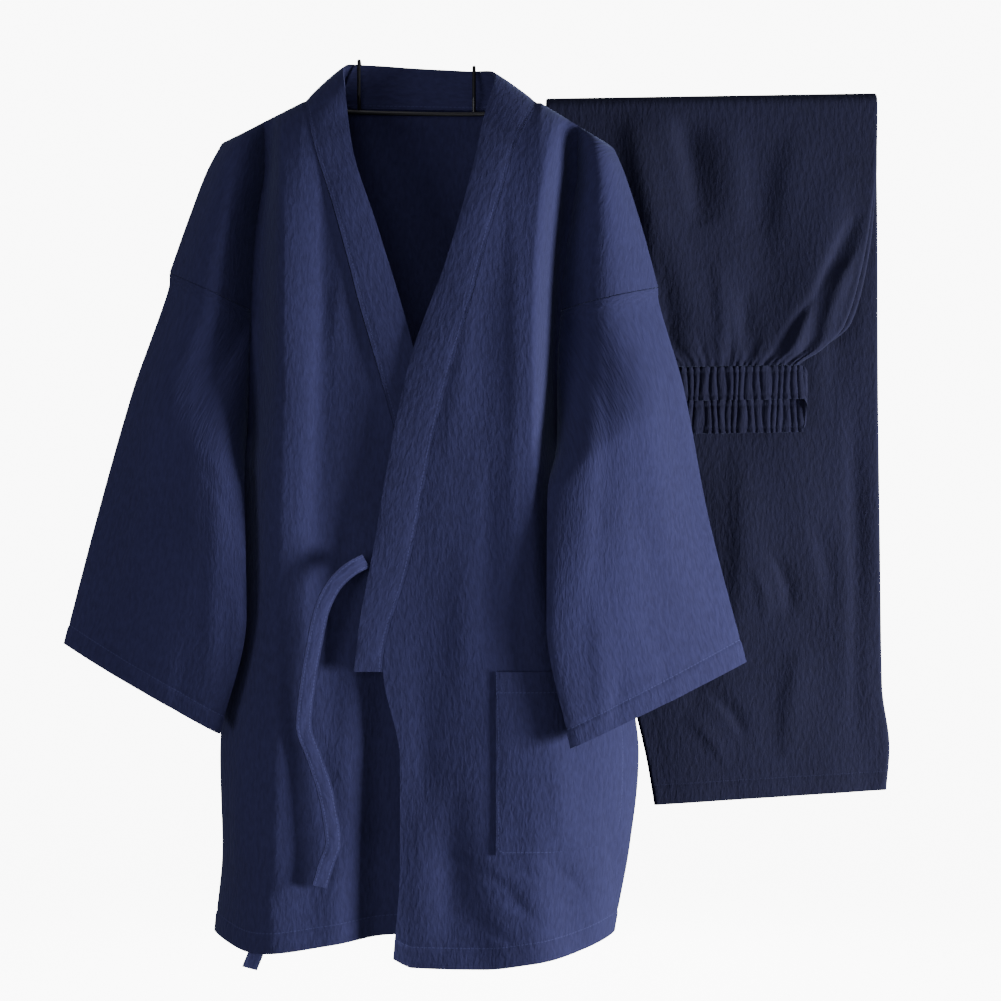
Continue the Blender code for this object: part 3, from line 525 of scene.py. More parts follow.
# Flat sizes of the pieces, in metres
Cut = namedtuple("Cut", "node width length area held rests_on")
CUTS = rows_of(
    Cut,
    ("jacket_back", 0.53, 0.76, 0.30, "hung", "hanger"),
    ("jacket_front_left", 0.32, 0.77, 0.15, "hung", "hanger"),
    ("jacket_front_right", 0.27, 0.76, 0.155, "hung", "hanger"),
    ("sleeve_left", 0.36, 0.36, 0.12, "hung", "jacket_front_left"),
    ("sleeve_right", 0.34, 0.36, 0.107, "hung", "jacket_front_right"),
    ("collar_band", 0.045, 1.27, 0.046, "hung", "jacket_back"),
    ("pocket", 0.127, 0.16, None, "hung", "jacket_front_left"),
    ("tie_front", 0.013, 0.31, None, "hung", "collar_band"),
    ("tie_side", 0.013, 0.35, None, "hung", "jacket_front_right"),
    ("trouser_leg_left", 0.62, 0.90, 0.49, "folded", "rod"),
    ("trouser_leg_right", 0.63, 0.93, 0.50, "folded", "rod"),
    ("waistband", 0.39, 0.03, None, "gathered", "trouser_leg_left"),
)


def through(keys, values, at):
    """A smooth curve through the values at increasing keys, with no overshoot, read at `at`."""
    keys, values, at = np.asarray(keys, float), np.asarray(values, float), np.asarray(at, float)
    steps = np.diff(keys)
    slopes = np.diff(values) / steps
    tangents = np.zeros_like(values)
    rising = slopes[:-1] * slopes[1:] > 0
    both = np.where(rising, slopes[:-1] + slopes[1:], 1.0)
    tangents[1:-1] = np.where(rising, 2 * slopes[:-1] * slopes[1:] / both, 0.0)
    tangents[0], tangents[-1] = slopes[0], slopes[-1]
    at = np.clip(at, keys[0], keys[-1])
    i = np.clip(np.searchsorted(keys, at) - 1, 0, len(steps) - 1)
    t = (at - keys[i]) / steps[i]
    return (
        values[i] * (1 + 2 * t) * (1 - t) ** 2
        + tangents[i] * steps[i] * t * (1 - t) ** 2
        + values[i + 1] * t * t * (3 - 2 * t)
        - tangents[i + 1] * steps[i] * t * t * (1 - t)
    )


def column(rows, name, at, key="drop"):
    return through([getattr(row, key) for row in rows], [getattr(row, name) for row in rows], at)


def smoothstep(low, high, value):
    t = np.clip((np.asarray(value, float) - low) / (high - low), 0.0, 1.0)
    return t * t * (3 - 2 * t)


def bell(aside, width):
    return np.exp(-((aside / width) ** 2))


def spread(start, end, count):
    return np.linspace(start, end, count)


Sheet = namedtuple("Sheet", "points quads normals flat")


def sheet_of(points, quads, flat, seams=None):
    """A cloth's middle surface. seams gives, by point, the direction of its thickness there."""
    points, quads = np.asarray(points, float), np.asarray(quads, int)
    corners = points[quads]
    across = np.cross(corners[:, 2] - corners[:, 0], corners[:, 3] - corners[:, 1])
    normals = np.zeros_like(points)
    for corner in range(4):
        np.add.at(normals, quads[:, corner], across)
    normals /= np.maximum(np.linalg.norm(normals, axis=1), 1e-9)[:, None]
    for index, direction in (seams or {}).items():
        direction = np.asarray(direction, float) / np.linalg.norm(direction)
        normals[index] = direction if direction @ normals[index] >= 0 else -direction
    return Sheet(points, quads, normals, np.asarray(flat, float))


def grid_quads(rows, columns, closed=False):
    """Quads of a grid of points stored row by row; closed joins its last column to its first."""
    quads = []
    for r in range(rows - 1):
        for c in range(columns if closed else columns - 1):
            a = r * columns + c
            b = r * columns + (c + 1) % columns
            quads.append((a, b, b + columns, a + columns))
    return quads


def round_over(below):
    """How far a panel has come out to its full depth, this far below the shoulder line."""
    t = np.clip(np.asarray(below, float) / ROUND_OVER, 0.0, 1.0)
    return np.sqrt(np.maximum(1 - (1 - t) ** 2, 0.0))


def folds_at(folds, x, drop):
    """The height of the soft ridges (and, where it is below zero, troughs) at a place on a panel."""
    total = 0.0
    for fold in folds:
        t = np.clip((drop - fold.drop_top) / (fold.drop_foot - fold.drop_top), 0.0, 1.0)
        middle = fold.x_top + (fold.x_foot - fold.x_top) * t
        total = total + fold.depth * np.sin(np.pi * t) ** 0.7 * bell(x - middle, fold.width)
    return total


def creases_at(creases, x, drop):
    """The height of the creases at a place: soft lines, steeper on one side and bowed sideways."""
    total = np.zeros_like(np.asarray(x, float))
    for crease in creases:
        run_x, run_drop = crease.x_foot - crease.x_top, crease.drop_foot - crease.drop_top
        length = np.hypot(run_x, run_drop)
        from_x, from_drop = x - crease.x_top, drop - crease.drop_top
        t = np.clip((from_x * run_x + from_drop * run_drop) / length**2, 0.0, 1.0)
        aside = (from_x * run_drop - from_drop * run_x) / length - crease.bow * np.sin(np.pi * t)
        width = crease.width * (1 + 0.35 * np.tanh(aside / crease.width))
        total += crease.depth * np.sin(np.pi * t) ** 0.7 * bell(aside, width)
    return total


def unevenness(x, drop):
    """The slight waviness that thick cotton keeps everywhere."""
    return (
        0.5 * np.sin(x / 23 + drop / 61)
        + 0.4 * np.sin(drop / 43 - x / 37 + 1.3)
        + 0.3 * np.sin(x / 11 - drop / 29 + 0.7)
    )


def hem_relief(from_edge):
    """A turned and stitched hem: raised up to its stitch line, and pulled in along it."""
    from_edge = np.asarray(from_edge, float)
    raised = HEM_RAISED * (1 - smoothstep(HEM_TURN - 1.5, HEM_TURN + 1.5, from_edge))
    return raised - STITCH_SUNK * bell(from_edge - HEM_TURN, 1.6)


def skin(name, outer, inner, quads, flat, stitch, surface):
    """A closed cloth wall from two matching skins. flat is the cloth's own plane and places the weave.

    stitch gives the place along the nearest sewn line and the distance from the edge that it follows.
    """
    count = len(outer)
    quads = np.asarray(quads, int)
    halves = joined(quads[:, (0, 1, 2)], quads[:, (0, 2, 3)])
    steps = np.stack([quads, np.roll(quads, -1, axis=1)], axis=2).reshape(-1, 2)
    keys = steps.min(axis=1) * count + steps.max(axis=1)
    _, first, uses = np.unique(keys, return_index=True, return_counts=True)
    rims = steps[first[uses == 1]]
    around = paired(rims[:, 1], rims[:, 0], rims[:, 0] + count, rims[:, 1] + count)
    faces = halves.tolist() + (halves[:, ::-1] + count).tolist() + around.tolist()
    mesh = bpy.data.meshes.new(name)
    mesh.from_pydata((joined(outer, inner) * MM).tolist(), [], faces)
    mesh.materials.append(surface)
    mesh.polygons.foreach_set("use_smooth", np.ones(len(mesh.polygons), bool))
    mesh.update()
    mesh.set_sharp_from_angle(angle=np.radians(SHARP_ANGLE))
    corners = np.zeros(len(mesh.loops), int)
    mesh.loops.foreach_get("vertex_index", corners)
    for layer, place in (("grain", flat), ("stitch", stitch)):
        layer = mesh.uv_layers.new(name=layer)
        layer.data.foreach_set("uv", (place[corners % count] * MM).ravel())
    return put_in_scene(name, mesh)


def cloth(name, sheet, thickness, out, relief, stitch, surface):
    """A cloth wall; out is 1 where the sheet's normals face the seen side, which carries the relief."""
    shift = sheet.normals * thickness / 2
    raised = sheet.normals * (relief * out)[:, None]
    outer, inner = sheet.points + shift, sheet.points - shift
    if out > 0:
        outer = outer + raised
    else:
        inner = inner + raised
    return skin(name, outer, inner, sheet.quads, sheet.flat, stitch, surface)


def material(name):
    """A new material, a maker of its nodes, and a feeder of its surface.

    Both take inputs by name: numbers and colours are set, sockets are linked.
    """
    made = bpy.data.materials.new(name)
    made.use_nodes = True
    nodes, links = made.node_tree.nodes, made.node_tree.links

    def feed(inputs, target=nodes["Principled BSDF"]):
        for key, value in inputs.items():
            if isinstance(value, bpy.types.NodeSocket):
                links.new(value, target.inputs[key])
            else:
                target.inputs[key].default_value = value

    def node(kind, inputs, **settings):
        new = nodes.new(kind)
        for key, value in settings.items():
            setattr(new, key, value)
        feed(inputs, new)
        return new.outputs

    return made, node, feed


def fabric(name, depth):
    """Navy quilted cotton: short crinkles along the grain, their crests painted lighter and their
    troughs darker as painted highlight and shade, a fine weave, a soft nap, a stitched line.

    depth darkens all its colours, 1 being the jacket's; a lower depth is painted shade.
    """
    made, node, feed = material(name)
    plane = node("ShaderNodeUVMap", {}, uv_map="grain")["UV"]
    seam = node("ShaderNodeUVMap", {}, uv_map="stitch")["UV"]

    def math(operation, a, b=0.0, clamp=False):
        return node("ShaderNodeMath", {0: a, 1: b}, operation=operation, use_clamp=clamp)[0]

    def noise(grain):
        scale = (1 / grain.across, 1 / grain.along, 1.0)
        place = node("ShaderNodeVectorMath", {0: plane, 1: scale}, operation="MULTIPLY")[0]
        inputs = {"Vector": place, "Scale": 1.0, "Detail": grain.detail}
        inputs |= {"Roughness": grain.roughness, "Distortion": grain.distortion}
        return node("ShaderNodeTexNoise", inputs, noise_dimensions="2D")["Fac"]

    def mixed(share, first, second):
        inputs = {"Factor": share, "A": first, "B": second}
        return node("ShaderNodeMix", inputs, data_type="RGBA")["Result"]

    def bump(height, distance, strength, before=None):
        inputs = {"Height": height, "Distance": distance, "Strength": strength}
        if before:
            inputs["Normal"] = before
        return node("ShaderNodeBump", inputs)["Normal"]

    crinkle, tufts, drift = noise(CRINKLE), noise(TUFTS), noise(DRIFT)
    weave = math("MULTIPLY", noise(WEFT), noise(WARP))
    place = node("ShaderNodeSeparateXYZ", {0: seam})
    off_line = math("ABSOLUTE", math("SUBTRACT", place[1], HEM_TURN * MM))
    on_line = math("LESS_THAN", off_line, STITCH_WIDTH / 2)
    step = math("FRACT", math("DIVIDE", place[0], STITCH_STEP))
    thread = math("MULTIPLY", on_line, math("LESS_THAN", step, STITCH_SHARE))

    # Painted highlight on the crinkles' crests and painted shade in their troughs, mixed with the
    # cloth's random tone from drift
    limits = {"Value": crinkle, "From Min": 0.30, "From Max": 0.72}
    ripple = node("ShaderNodeMapRange", limits, clamp=True)["Result"]
    shade = math("ADD", math("MULTIPLY", ripple, 0.34), math("MULTIPLY", drift, 0.55), clamp=True)
    deep, crest, nap = (
        (*(depth * part for part in cloth_colour[:3]), 1.0) for cloth_colour in (CLOTH_DARK_TONE_AND_TROUGH_SHADE, CLOTH_LIGHT_TONE_AND_CREST_HIGHLIGHT, CLOTH_NAP)
    )
    color = mixed(shade, deep, crest)
    color = mixed(math("MULTIPLY", tufts, 0.22), color, nap)
    color = mixed(math("MULTIPLY", thread, 0.55), color, nap)

    normal = bump(weave, 0.00022, 0.5)
    normal = bump(tufts, 0.0005, 0.35, normal)
    normal = bump(ripple, CRINKLE_HEIGHT, 0.8, normal)
    normal = bump(thread, 0.0003, 0.6, normal)
    feed({"Base Color": color, "Normal": normal, "Roughness": 0.92, "Specular IOR Level": 0.18})
    feed({"Sheen Weight": SHEEN, "Sheen Roughness": 0.45, "Sheen Tint": SHEEN_TINT})
    return made


def metal():
    """Dark painted steel with a slight unevenness in its gloss: the rod's own colour, and on the hanger
    inside the neck painted shade, standing for the shadow line along the back collar's seam.
    """
    made, node, feed = material("dark_steel_with_painted_seam_shade")
    noise = node("ShaderNodeTexNoise", {"Scale": 160.0})["Fac"]
    gloss = node("ShaderNodeMapRange", {"Value": noise, "To Min": 0.34, "To Max": 0.52})["Result"]
    feed({"Base Color": ROD_DARK, "Metallic": 0.7, "Roughness": gloss})
    return made


def put_in_scene(name, data):
    made = bpy.data.objects.new(name, data)
    bpy.context.scene.collection.objects.link(made)
    return made


def studio():
    """A white sweep behind and under the set, light from low on the right, and a level camera."""
    foot, turn = BACKDROP_Y - BACKDROP_TURN, np.radians(np.arange(7.5, 90, 7.5))
    sweep = zip(foot + BACKDROP_TURN * np.sin(turn), FLOOR_Z + BACKDROP_TURN * (1 - np.cos(turn)))
    profile = [(-BACKDROP_REACH, FLOOR_Z), (foot, FLOOR_Z), *sweep]
    profile += [(BACKDROP_Y, FLOOR_Z + BACKDROP_TURN), (BACKDROP_Y, BACKDROP_TOP)]
    points = [(x, y, z) for x in (-BACKDROP_REACH, BACKDROP_REACH) for y, z in profile]
    count = len(profile)
    faces = [(i, i + count, i + count + 1, i + 1) for i in range(count - 1)]
    mesh = bpy.data.meshes.new("backdrop")
    mesh.from_pydata(points, [], faces)
    paper, _, feed = material("white_paper")
    feed({"Base Color": (0.93, 0.93, 0.93, 1.0), "Roughness": 0.9})
    feed({"Emission Color": WHITE, "Emission Strength": PAPER_LIGHT})
    mesh.materials.append(paper)
    mesh.polygons.foreach_set("use_smooth", np.ones(len(mesh.polygons), bool))
    backdrop = put_in_scene("backdrop", mesh)
    backdrop.visible_diffuse = False
    backdrop.visible_glossy = False

    world = bpy.data.worlds.new("studio")
    world.use_nodes = True
    background = world.node_tree.nodes["Background"]
    background.inputs["Color"].default_value = WHITE
    background.inputs["Strength"].default_value = WORLD_LIGHT
    bpy.context.scene.world = world

    for name, place, size, power in LAMPS:
        lamp = bpy.data.lights.new(name, "AREA")
        lamp.size = size
        lamp.energy = power
        made = put_in_scene(name, lamp)
        made.location = place
        made.visible_camera = False
        made.rotation_euler = (Vector(LAMPS_AIM) - Vector(place)).to_track_quat("-Z", "Y").to_euler()

    camera = bpy.data.cameras.new("photo_camera")
    camera.sensor_width = SENSOR
    camera.lens = SENSOR * CAMERA_AWAY / FRAME_WIDTH
    camera.clip_end = 50.0
    made = put_in_scene("photo_camera", camera)
    made.location = (CAMERA_X, -JACKET_FORWARD * MM - CAMERA_AWAY, CAMERA_Z)
    made.rotation_euler = (np.radians(90), 0.0, 0.0)
    bpy.context.scene.camera = made


def shoulder_drop(x):
    """The shoulder line's drop, from the neck out to the wing's corner on each side."""
    x = np.asarray(x, float)
    right = through((0, 73), (-7, 30), -105 - x)
    left = through((0, 65), (-6, 34), x - 108)
    return np.where(x < 0, right, left)


def side_sweep(ridge, ridge_depth, side, side_depth, roundness, t):
    """From a panel's ridge round to its side: a valley at roundness 0, a rounded flank at 1."""
    x1 = ridge + (0.35 + 0.1 * roundness) * (side - ridge)
    x2 = side - 0.5 * (1 - roundness) * (side - ridge)
    turn_depth = side_depth + FLANK * roundness
    a, b, c, d = (1 - t) ** 3, 3 * t * (1 - t) ** 2, 3 * t * t * (1 - t), t**3
    depth = (a + b) * ridge_depth + c * turn_depth + d * side_depth
    return a * ridge + b * x1 + c * x2 + d * side, depth


def front_depth(x, drop):
    """The surface that both fronts follow between their ridges."""
    middle = column(MIDDLE, "front", drop)
    depth = middle
    for rows in (INNER_FRONT, OUTER_FRONT):
        rise = column(rows, "ridge_depth", drop) - middle
        depth = depth + rise * smoothstep(MIDDLE_X, column(rows, "ridge", drop), x)
    return depth


def drops_of(x, level, share, tops, hem):
    """The drop along one row: shared out from the shoulder to the chest, and led to the hem below."""
    drops = tops + share * (level - tops)
    to_hem = smoothstep(HEM_STARTS, HEM_LEVEL, level)
    return drops + to_hem * (column(hem, "drop", x, key="x") - HEM_LEVEL)


def front_row(table, hem, lap, level, share):
    """One row of a front, from its free edge to its groove or side seam."""
    top = float(shoulder_drop(table[0].ridge))
    read = top + share * (level - top)
    edge, middle, ridge, ridge_depth, side, side_depth, roundness = (
        float(column(table, name, read)) for name in Section._fields[1:]
    )
    x = joined(spread(edge, middle, EDGE_COLUMNS)[:-1], spread(middle, ridge, RIDGE_COLUMNS)[:-1])
    depth = front_depth(x, read) + lap * (1 - smoothstep(40, 95, x))
    places = spread(0, 1, SWEEP_COLUMNS)
    side_x, side_y = side_sweep(ridge, ridge_depth, side, side_depth, roundness, places)
    x, depth = joined(x, side_x), joined(depth, side_y)
    tops = shoulder_drop(x)
    drop = drops_of(x, level, share, tops, hem)
    depth = depth + folds_at(FRONT_FOLDS, x, drop) * smoothstep(0, 20, abs(x - side))
    return paired(x, -depth * round_over(drop - tops), -drop)


def back_flank(table, ridge_low, level, share):
    """Half of the back's row, from its ridge to its groove or side seam, as x and depth."""
    top = float(shoulder_drop(table[0].ridge))
    read = top + share * (level - top)
    names = ("side", "side_depth", "round")
    side, side_depth, roundness = (float(column(table, name, read)) for name in names)
    if level >= ARMPIT:
        side_depth = -side_depth
    ridge = share * ridge_low + (1 - share) * table[0].ridge
    ridge += (side - ridge) * 0.45 * smoothstep(ARMPIT, POCKET_TOP, level)
    depth = float(column(MIDDLE, "back_ridge", read))
    x, flank = side_sweep(ridge, depth, side, side_depth, roundness, spread(0, 1, SWEEP_COLUMNS))
    return x, flank, float(column(MIDDLE, "back_centre", read))


def back_row(level, share):
    """One row of the back, from the wearer's right side to the left one."""
    right_x, right_depth, centre = back_flank(INNER_FRONT, BACK_RIDGES[0], level, share)
    left_x, left_depth, centre = back_flank(OUTER_FRONT, BACK_RIDGES[1], level, share)
    x = spread(right_x[0], left_x[0], BACK_COLUMNS)
    depth = through((x[0], MIDDLE_X, x[-1]), (right_depth[0], centre, left_depth[0]), x)
    x = joined(right_x[:0:-1], x, left_x[1:])
    depth = joined(right_depth[:0:-1], depth, left_depth[1:])
    neck = [point.x for point in BACK_NECK]
    in_neck = (x > neck[0]) & (x < neck[-1])
    tops = np.where(in_neck, through(neck, [point.drop for point in BACK_NECK], x), shoulder_drop(x))
    starts = np.where(in_neck, through(neck, [point.depth for point in BACK_NECK], x), 0.0)
    drop = drops_of(x, level, share, tops, BACK_HEM)
    depth = depth + folds_at(BACK_FOLDS, x, drop) * smoothstep(0, 20, np.minimum(x - x[0], x[-1] - x))
    return paired(x, starts + (depth - starts) * round_over(drop - tops), -drop)


def wing_row(groove, edge, bulge, k):
    """One row of the wing over the bar's end, from beside the groove out to the fold behind it."""
    keys = spread(0, 1, len(edge))
    share = k / (UPPER_ROWS - 1)
    outer_x, outer_drop = (through(keys, [p[axis] for p in edge], share) for axis in (0, 1))
    outer = np.array([outer_x, -outer_drop])
    q = spread(0, 1, WING_COLUMNS + 1)[1:]
    places = groove[[0, 2]] + q[:, None] * (outer - groove[[0, 2]])
    rise = bulge * round_over(share * ROUND_OVER) * np.sin(np.pi * q**WING_CREST)
    return paired(places[:, 0], groove[1] * (1 - q) + rise, places[:, 1])


def shoulder_normal(point):
    """Straight up from the shoulder line, and leaning outwards as the line falls."""
    lean = 0.5 * smoothstep(95, 115, abs(point[0]))
    return (np.sign(point[0]) * lean, 0.0, 1.0)


def panel(rows, facing, wings, creases):
    """A body panel's middle surface: its rows, and the wings beside the columns that wings names.

    facing is -1 on a front and 1 on the back. wings gives (column, edge) pairs. Each armhole is returned
    from the fold down to the armpit, as point numbers with their neighbours further in.
    """
    points = [np.array(row) for row in rows]
    columns = len(points[0])
    quads = grid_quads(len(rows), columns)
    count = len(rows) * columns
    seams, armholes = {}, []
    flat = []
    for row in points:
        steps = np.linalg.norm(np.diff(row, axis=0)[:, :2], axis=1)
        along = joined([0.0], np.cumsum(steps))
        flat.append(paired(along - along[columns // 2], -row[:, 2]))
    for c in range(columns):
        seams[c] = shoulder_normal(points[0][c])
        if abs(points[0][c][1]) < SEAM:
            points[0][c][1] = facing * SEAM_SHOWN / 2
    fixed = {}
    for at, edge in wings:
        bulge = facing * WING_BULGE["front" if facing < 0 else "back"]
        wing = [wing_row(points[k][at], edge, bulge, k) for k in range(UPPER_ROWS)]
        starts = [count + k * WING_COLUMNS for k in range(UPPER_ROWS)]
        lines = [[k * columns + at, *range(s, s + WING_COLUMNS)] for k, s in enumerate(starts)]
        for upper, lower in zip(lines, lines[1:]):
            for i in range(WING_COLUMNS):
                quad = (upper[i], upper[i + 1], lower[i + 1], lower[i])
                quads.append(quad if at else quad[::-1])
        side = -1 if edge[0].x < 0 else 1
        for k, row in enumerate(wing):
            beside = joined(points[k][at : at + 1], row)
            reach = np.cumsum(np.linalg.norm(np.diff(beside, axis=0)[:, :2], axis=1))
            flat.append(paired(flat[k][at, 0] + side * reach, -row[:, 2]))
        for i, index in enumerate(lines[0][1:]):
            wing[0][i][1] = facing * SEAM_SHOWN / 2
            seams[index] = shoulder_normal(wing[0][i])
        for k in range(UPPER_ROWS):
            wing[k][-1][1] = facing * SEAM_SHOWN / 2
            fixed[lines[k][-1]] = (side * 1.0, 0.0, 0.45)
        points += wing
        count += UPPER_ROWS * WING_COLUMNS
        inward = 1 if at == 0 else -1
        armhole = [(lines[-1][i], lines[-2][i]) for i in range(WING_COLUMNS, 0, -1)]
        armhole += [(lines[-1][0], lines[-2][0], lines[-1][0] + inward)]
        down = range(UPPER_ROWS * columns + at, ARMPIT_ROW * columns + at + 1, columns)
        armhole += [(index, index + inward) for index in down]
        armholes.append(armhole)
        for r in range(ARMPIT_ROW, len(rows)):
            points[r][at][1] += facing * SEAM_SHOWN / 2
            fixed[r * columns + at] = (side, 0.0, 0.0)
    seams.update(fixed)
    points, flat = np.concatenate(points), np.concatenate(flat)
    smooth = sheet_of(points, quads, flat)
    out = np.sign(smooth.normals[:, 1].sum()) * facing
    x, drop = points[:, 0], -points[:, 2]
    height = creases_at(creases, x, drop) + UNEVEN * unevenness(x, drop)
    grid = np.arange(len(rows) * columns)
    held = np.ones(len(points))
    held[grid] *= smoothstep(0, 4, grid // columns)
    for at, _ in wings:
        held[grid] *= smoothstep(0, 5, abs(grid % columns - at))
    if len(wings) == 1:
        held[grid] *= smoothstep(0, 3, grid % columns)
    across = np.tile(spread(0, 1, WING_COLUMNS + 1)[1:], len(wings) * UPPER_ROWS)
    held[len(grid) :] = 0.6 * np.sin(np.pi * across)
    moved = points + smooth.normals * (out * height * held)[:, None]
    return sheet_of(moved, quads, flat, seams), armholes, out


def hem_of(sheet, rows, columns, levels):
    """The turned hem's relief at a panel's points, and their place along and distance from its edge."""
    from_edge = np.full(len(sheet.points), FAR)
    from_edge[: rows * columns] = np.repeat([HEM_LEVEL - level for level, _ in levels], columns)
    return hem_relief(from_edge), paired(sheet.flat[:, 0], from_edge)


def unit(vector):
    return vector / np.linalg.norm(vector)


def beyond(sheet, edge, gap):
    """A panel's edge points moved past it by the gap. edge names each and its neighbours further in."""
    moved = []
    for here, *further_in in edge:
        away = sum(unit(sheet.points[here] - sheet.points[other]) for other in further_in)
        moved.append(sheet.points[here] + gap * unit(away))
    return np.array(moved)


def lengths_along(points):
    return joined([0.0], np.cumsum(np.linalg.norm(np.diff(points, axis=0), axis=1)))


def shares_along(points):
    lengths = lengths_along(points)
    return lengths / lengths[-1]


def resampled(points, shares):
    points = np.asarray(points, float)
    keys = shares_along(points)
    return np.stack([np.interp(shares, keys, points[:, axis]) for axis in range(3)], axis=1)


def share_seam_normal(first, here, second, there):
    """Mitre a seam: both edges take the direction midway between their own."""
    sign = np.sign(first.normals[here] @ second.normals[there])
    middle = first.normals[here] + sign * second.normals[there]
    middle /= np.linalg.norm(middle)
    first.normals[here], second.normals[there] = middle, sign * middle


def sleeve(table, front, back, creases):
    """A sleeve tube from the armhole seam to the cuff, through the throat and the rings of its table."""
    halves, tau = [], []
    for sheet, armhole in (front, back):
        halves.append(beyond(sheet, armhole, SEAM_SHOWN))
        tau.append(shares_along(halves[-1]))
    side = np.sign(table[0].outer_x)
    for half in halves:
        half[0] = (halves[0][0] + halves[1][0]) / 2
        half[-1] = (halves[0][-1] + halves[1][-1]) / 2 + np.array([side * SEAM_SHOWN, 0.0, 0.0])
    start = joined(halves[0], halves[1][-2:0:-1])
    share = joined(tau[0], tau[1][-2:0:-1])
    facing = joined(-np.ones(len(tau[0])), np.ones(len(tau[1]) - 2))
    outward = np.outer(smoothstep(0.3, 0.9, share), (0.0, -THROAT_FORWARD, 0.0))
    throat = start + outward + (0.0, 0.0, -THROAT_DROP)
    rings, keys = [start, throat], [0.0, THROAT_ALONG]
    for ring in table:
        x = ring.outer_x + share * (ring.inner_x - ring.outer_x)
        drop = ring.outer_drop + share * (ring.inner_drop - ring.outer_drop)
        depth = ring.outer_depth + share * (ring.inner_depth - ring.outer_depth)
        bulge = np.where(facing < 0, ring.front, -ring.back) * np.abs(np.sin(np.pi * share)) ** 0.8
        rings.append(paired(x, -(depth + bulge), -drop))
        keys.append(ring.along)
    rings = np.array(rings)
    points = np.zeros((len(SLEEVE_ALONG), len(start), 3))
    for i in range(len(start)):
        for axis in range(3):
            points[:, i, axis] = through(keys, rings[:, i, axis], SLEEVE_ALONG)
    count = len(start)
    along = np.repeat(SLEEVE_ALONG, count)
    around = np.tile(share, len(SLEEVE_ALONG))
    length = np.hypot(points[-1, 0, 0] - start[0][0], points[-1, 0, 2] - start[0][2])
    flat = paired(around * SLEEVE_AROUND, along * length)
    points = points.reshape(-1, 3)
    quads = grid_quads(len(SLEEVE_ALONG), count, closed=True)
    smooth = sheet_of(points, quads, flat)
    facing = np.tile(facing, len(SLEEVE_ALONG))
    out = np.sign((smooth.normals[:, 1] * facing).sum())
    x, drop = points[:, 0], -points[:, 2]
    rear = facing > 0
    height = creases_at(creases, x, drop + REAR_LOWER * rear) + UNEVEN * unevenness(x, drop)
    height *= smoothstep(0.02, 0.14, along) * np.sin(np.pi * around) ** 0.5
    height *= np.where(rear, REAR_SHARE, 1.0)
    made = sheet_of(points + smooth.normals * (out * height)[:, None], quads, flat)
    for (sheet, armhole), direction in ((front, 1), (back, -1)):
        for place in range(1, len(armhole) - 1):
            here, there = direction * place % count, armhole[place][0]
            share_seam_normal(made, here, sheet, there)
    from_edge = (1 - along) * length
    sunk = SEAM_SUNK * bell(along * length, 1.8)
    return made, out, hem_relief(from_edge) - sunk, paired(flat[:, 0], from_edge)


def smooth_path(points, count):
    keys = shares_along(points)
    return np.stack([through(keys, points[:, axis], spread(0, 1, count)) for axis in range(3)], axis=1)


def band_edges(table, lap, seam):
    """A front's free band edge, from the band's end up to where the collar's top begins."""
    drops = spread(-seam[0][2], table[0].drop, 120)
    x = column(table, "x", drops)
    depth = (front_depth(x, drops) + lap) * round_over(drops + 7)
    return paired(x, -depth, -drops)


def collar(inner, outer, back, surface):
    """The long band: up the outer front's edge, round the neck, and down the inner front's edge."""
    columns = inner.columns
    edge = [(r * columns, r * columns + 1) for r in range(BAND_ROW + 1)]
    seam_inner, seam_outer = (beyond(front.sheet, edge, BAND_GAP)[::-1] for front in (inner, outer))
    row = back.sheet.points[: back.columns]
    in_neck = [c for c, (x, _, _) in enumerate(row) if BACK_NECK[0].x + 6 < x < BACK_NECK[-1].x - 6]
    seam_back = row[in_neck] + (0, 0, CLOTH / 2 - 2.5 * SEAM)
    top = np.array([(p.x, p.depth, -p.drop) for p in COLLAR_TOP])
    top = smooth_path(top, 80)
    free_outer = joined(band_edges(OUTER_BAND_EDGE, LAP + 0.5, seam_outer), top[:-12:-1])
    free_inner = joined(band_edges(INNER_BAND_EDGE, 0.5, seam_inner), top[:11])
    seam = joined(seam_outer, seam_back[::-1], seam_inner[::-1])
    keys = shares_along(joined(seam_outer[-1:], seam_back[::-1], seam_inner[-1:]))
    free = joined(
        resampled(free_outer, shares_along(seam_outer)),
        resampled(top[10:-10][::-1], keys[1:-1]),
        resampled(free_inner, shares_along(seam_inner))[::-1],
    )
    places = spread(0.0, 1.0, BAND_ROWS)
    rows = [seam + (free - seam) * t for t in places]
    across = np.repeat(places, len(seam))
    widths = np.tile(np.linalg.norm(free - seam, axis=1), BAND_ROWS)
    run = np.tile(lengths_along((seam + free) / 2), BAND_ROWS)
    flat = paired(across * widths, run)
    smooth = sheet_of(np.concatenate(rows), grid_quads(BAND_ROWS, len(seam)), flat)
    away = smooth.points - np.array([MIDDLE_X, -10.0, 0.0])
    out = np.sign((smooth.normals[:, :2] * away[:, :2]).sum())
    ends = smoothstep(0, 25, np.minimum(run, run.max() - run))
    height = 0.9 + 0.35 * np.sin(run / 9.0) + 0.3 * np.sin(run / 23 + 2)
    height *= np.sin(np.pi * across) ** 0.6
    height -= 0.5 * bell(across * widths - BAND_STITCH, 1.3)
    height *= ends
    stitch = paired(run, across * widths + HEM_TURN - BAND_STITCH)
    return cloth("collar_band_cloth", smooth, BAND_CLOTH, out, height, stitch, surface)


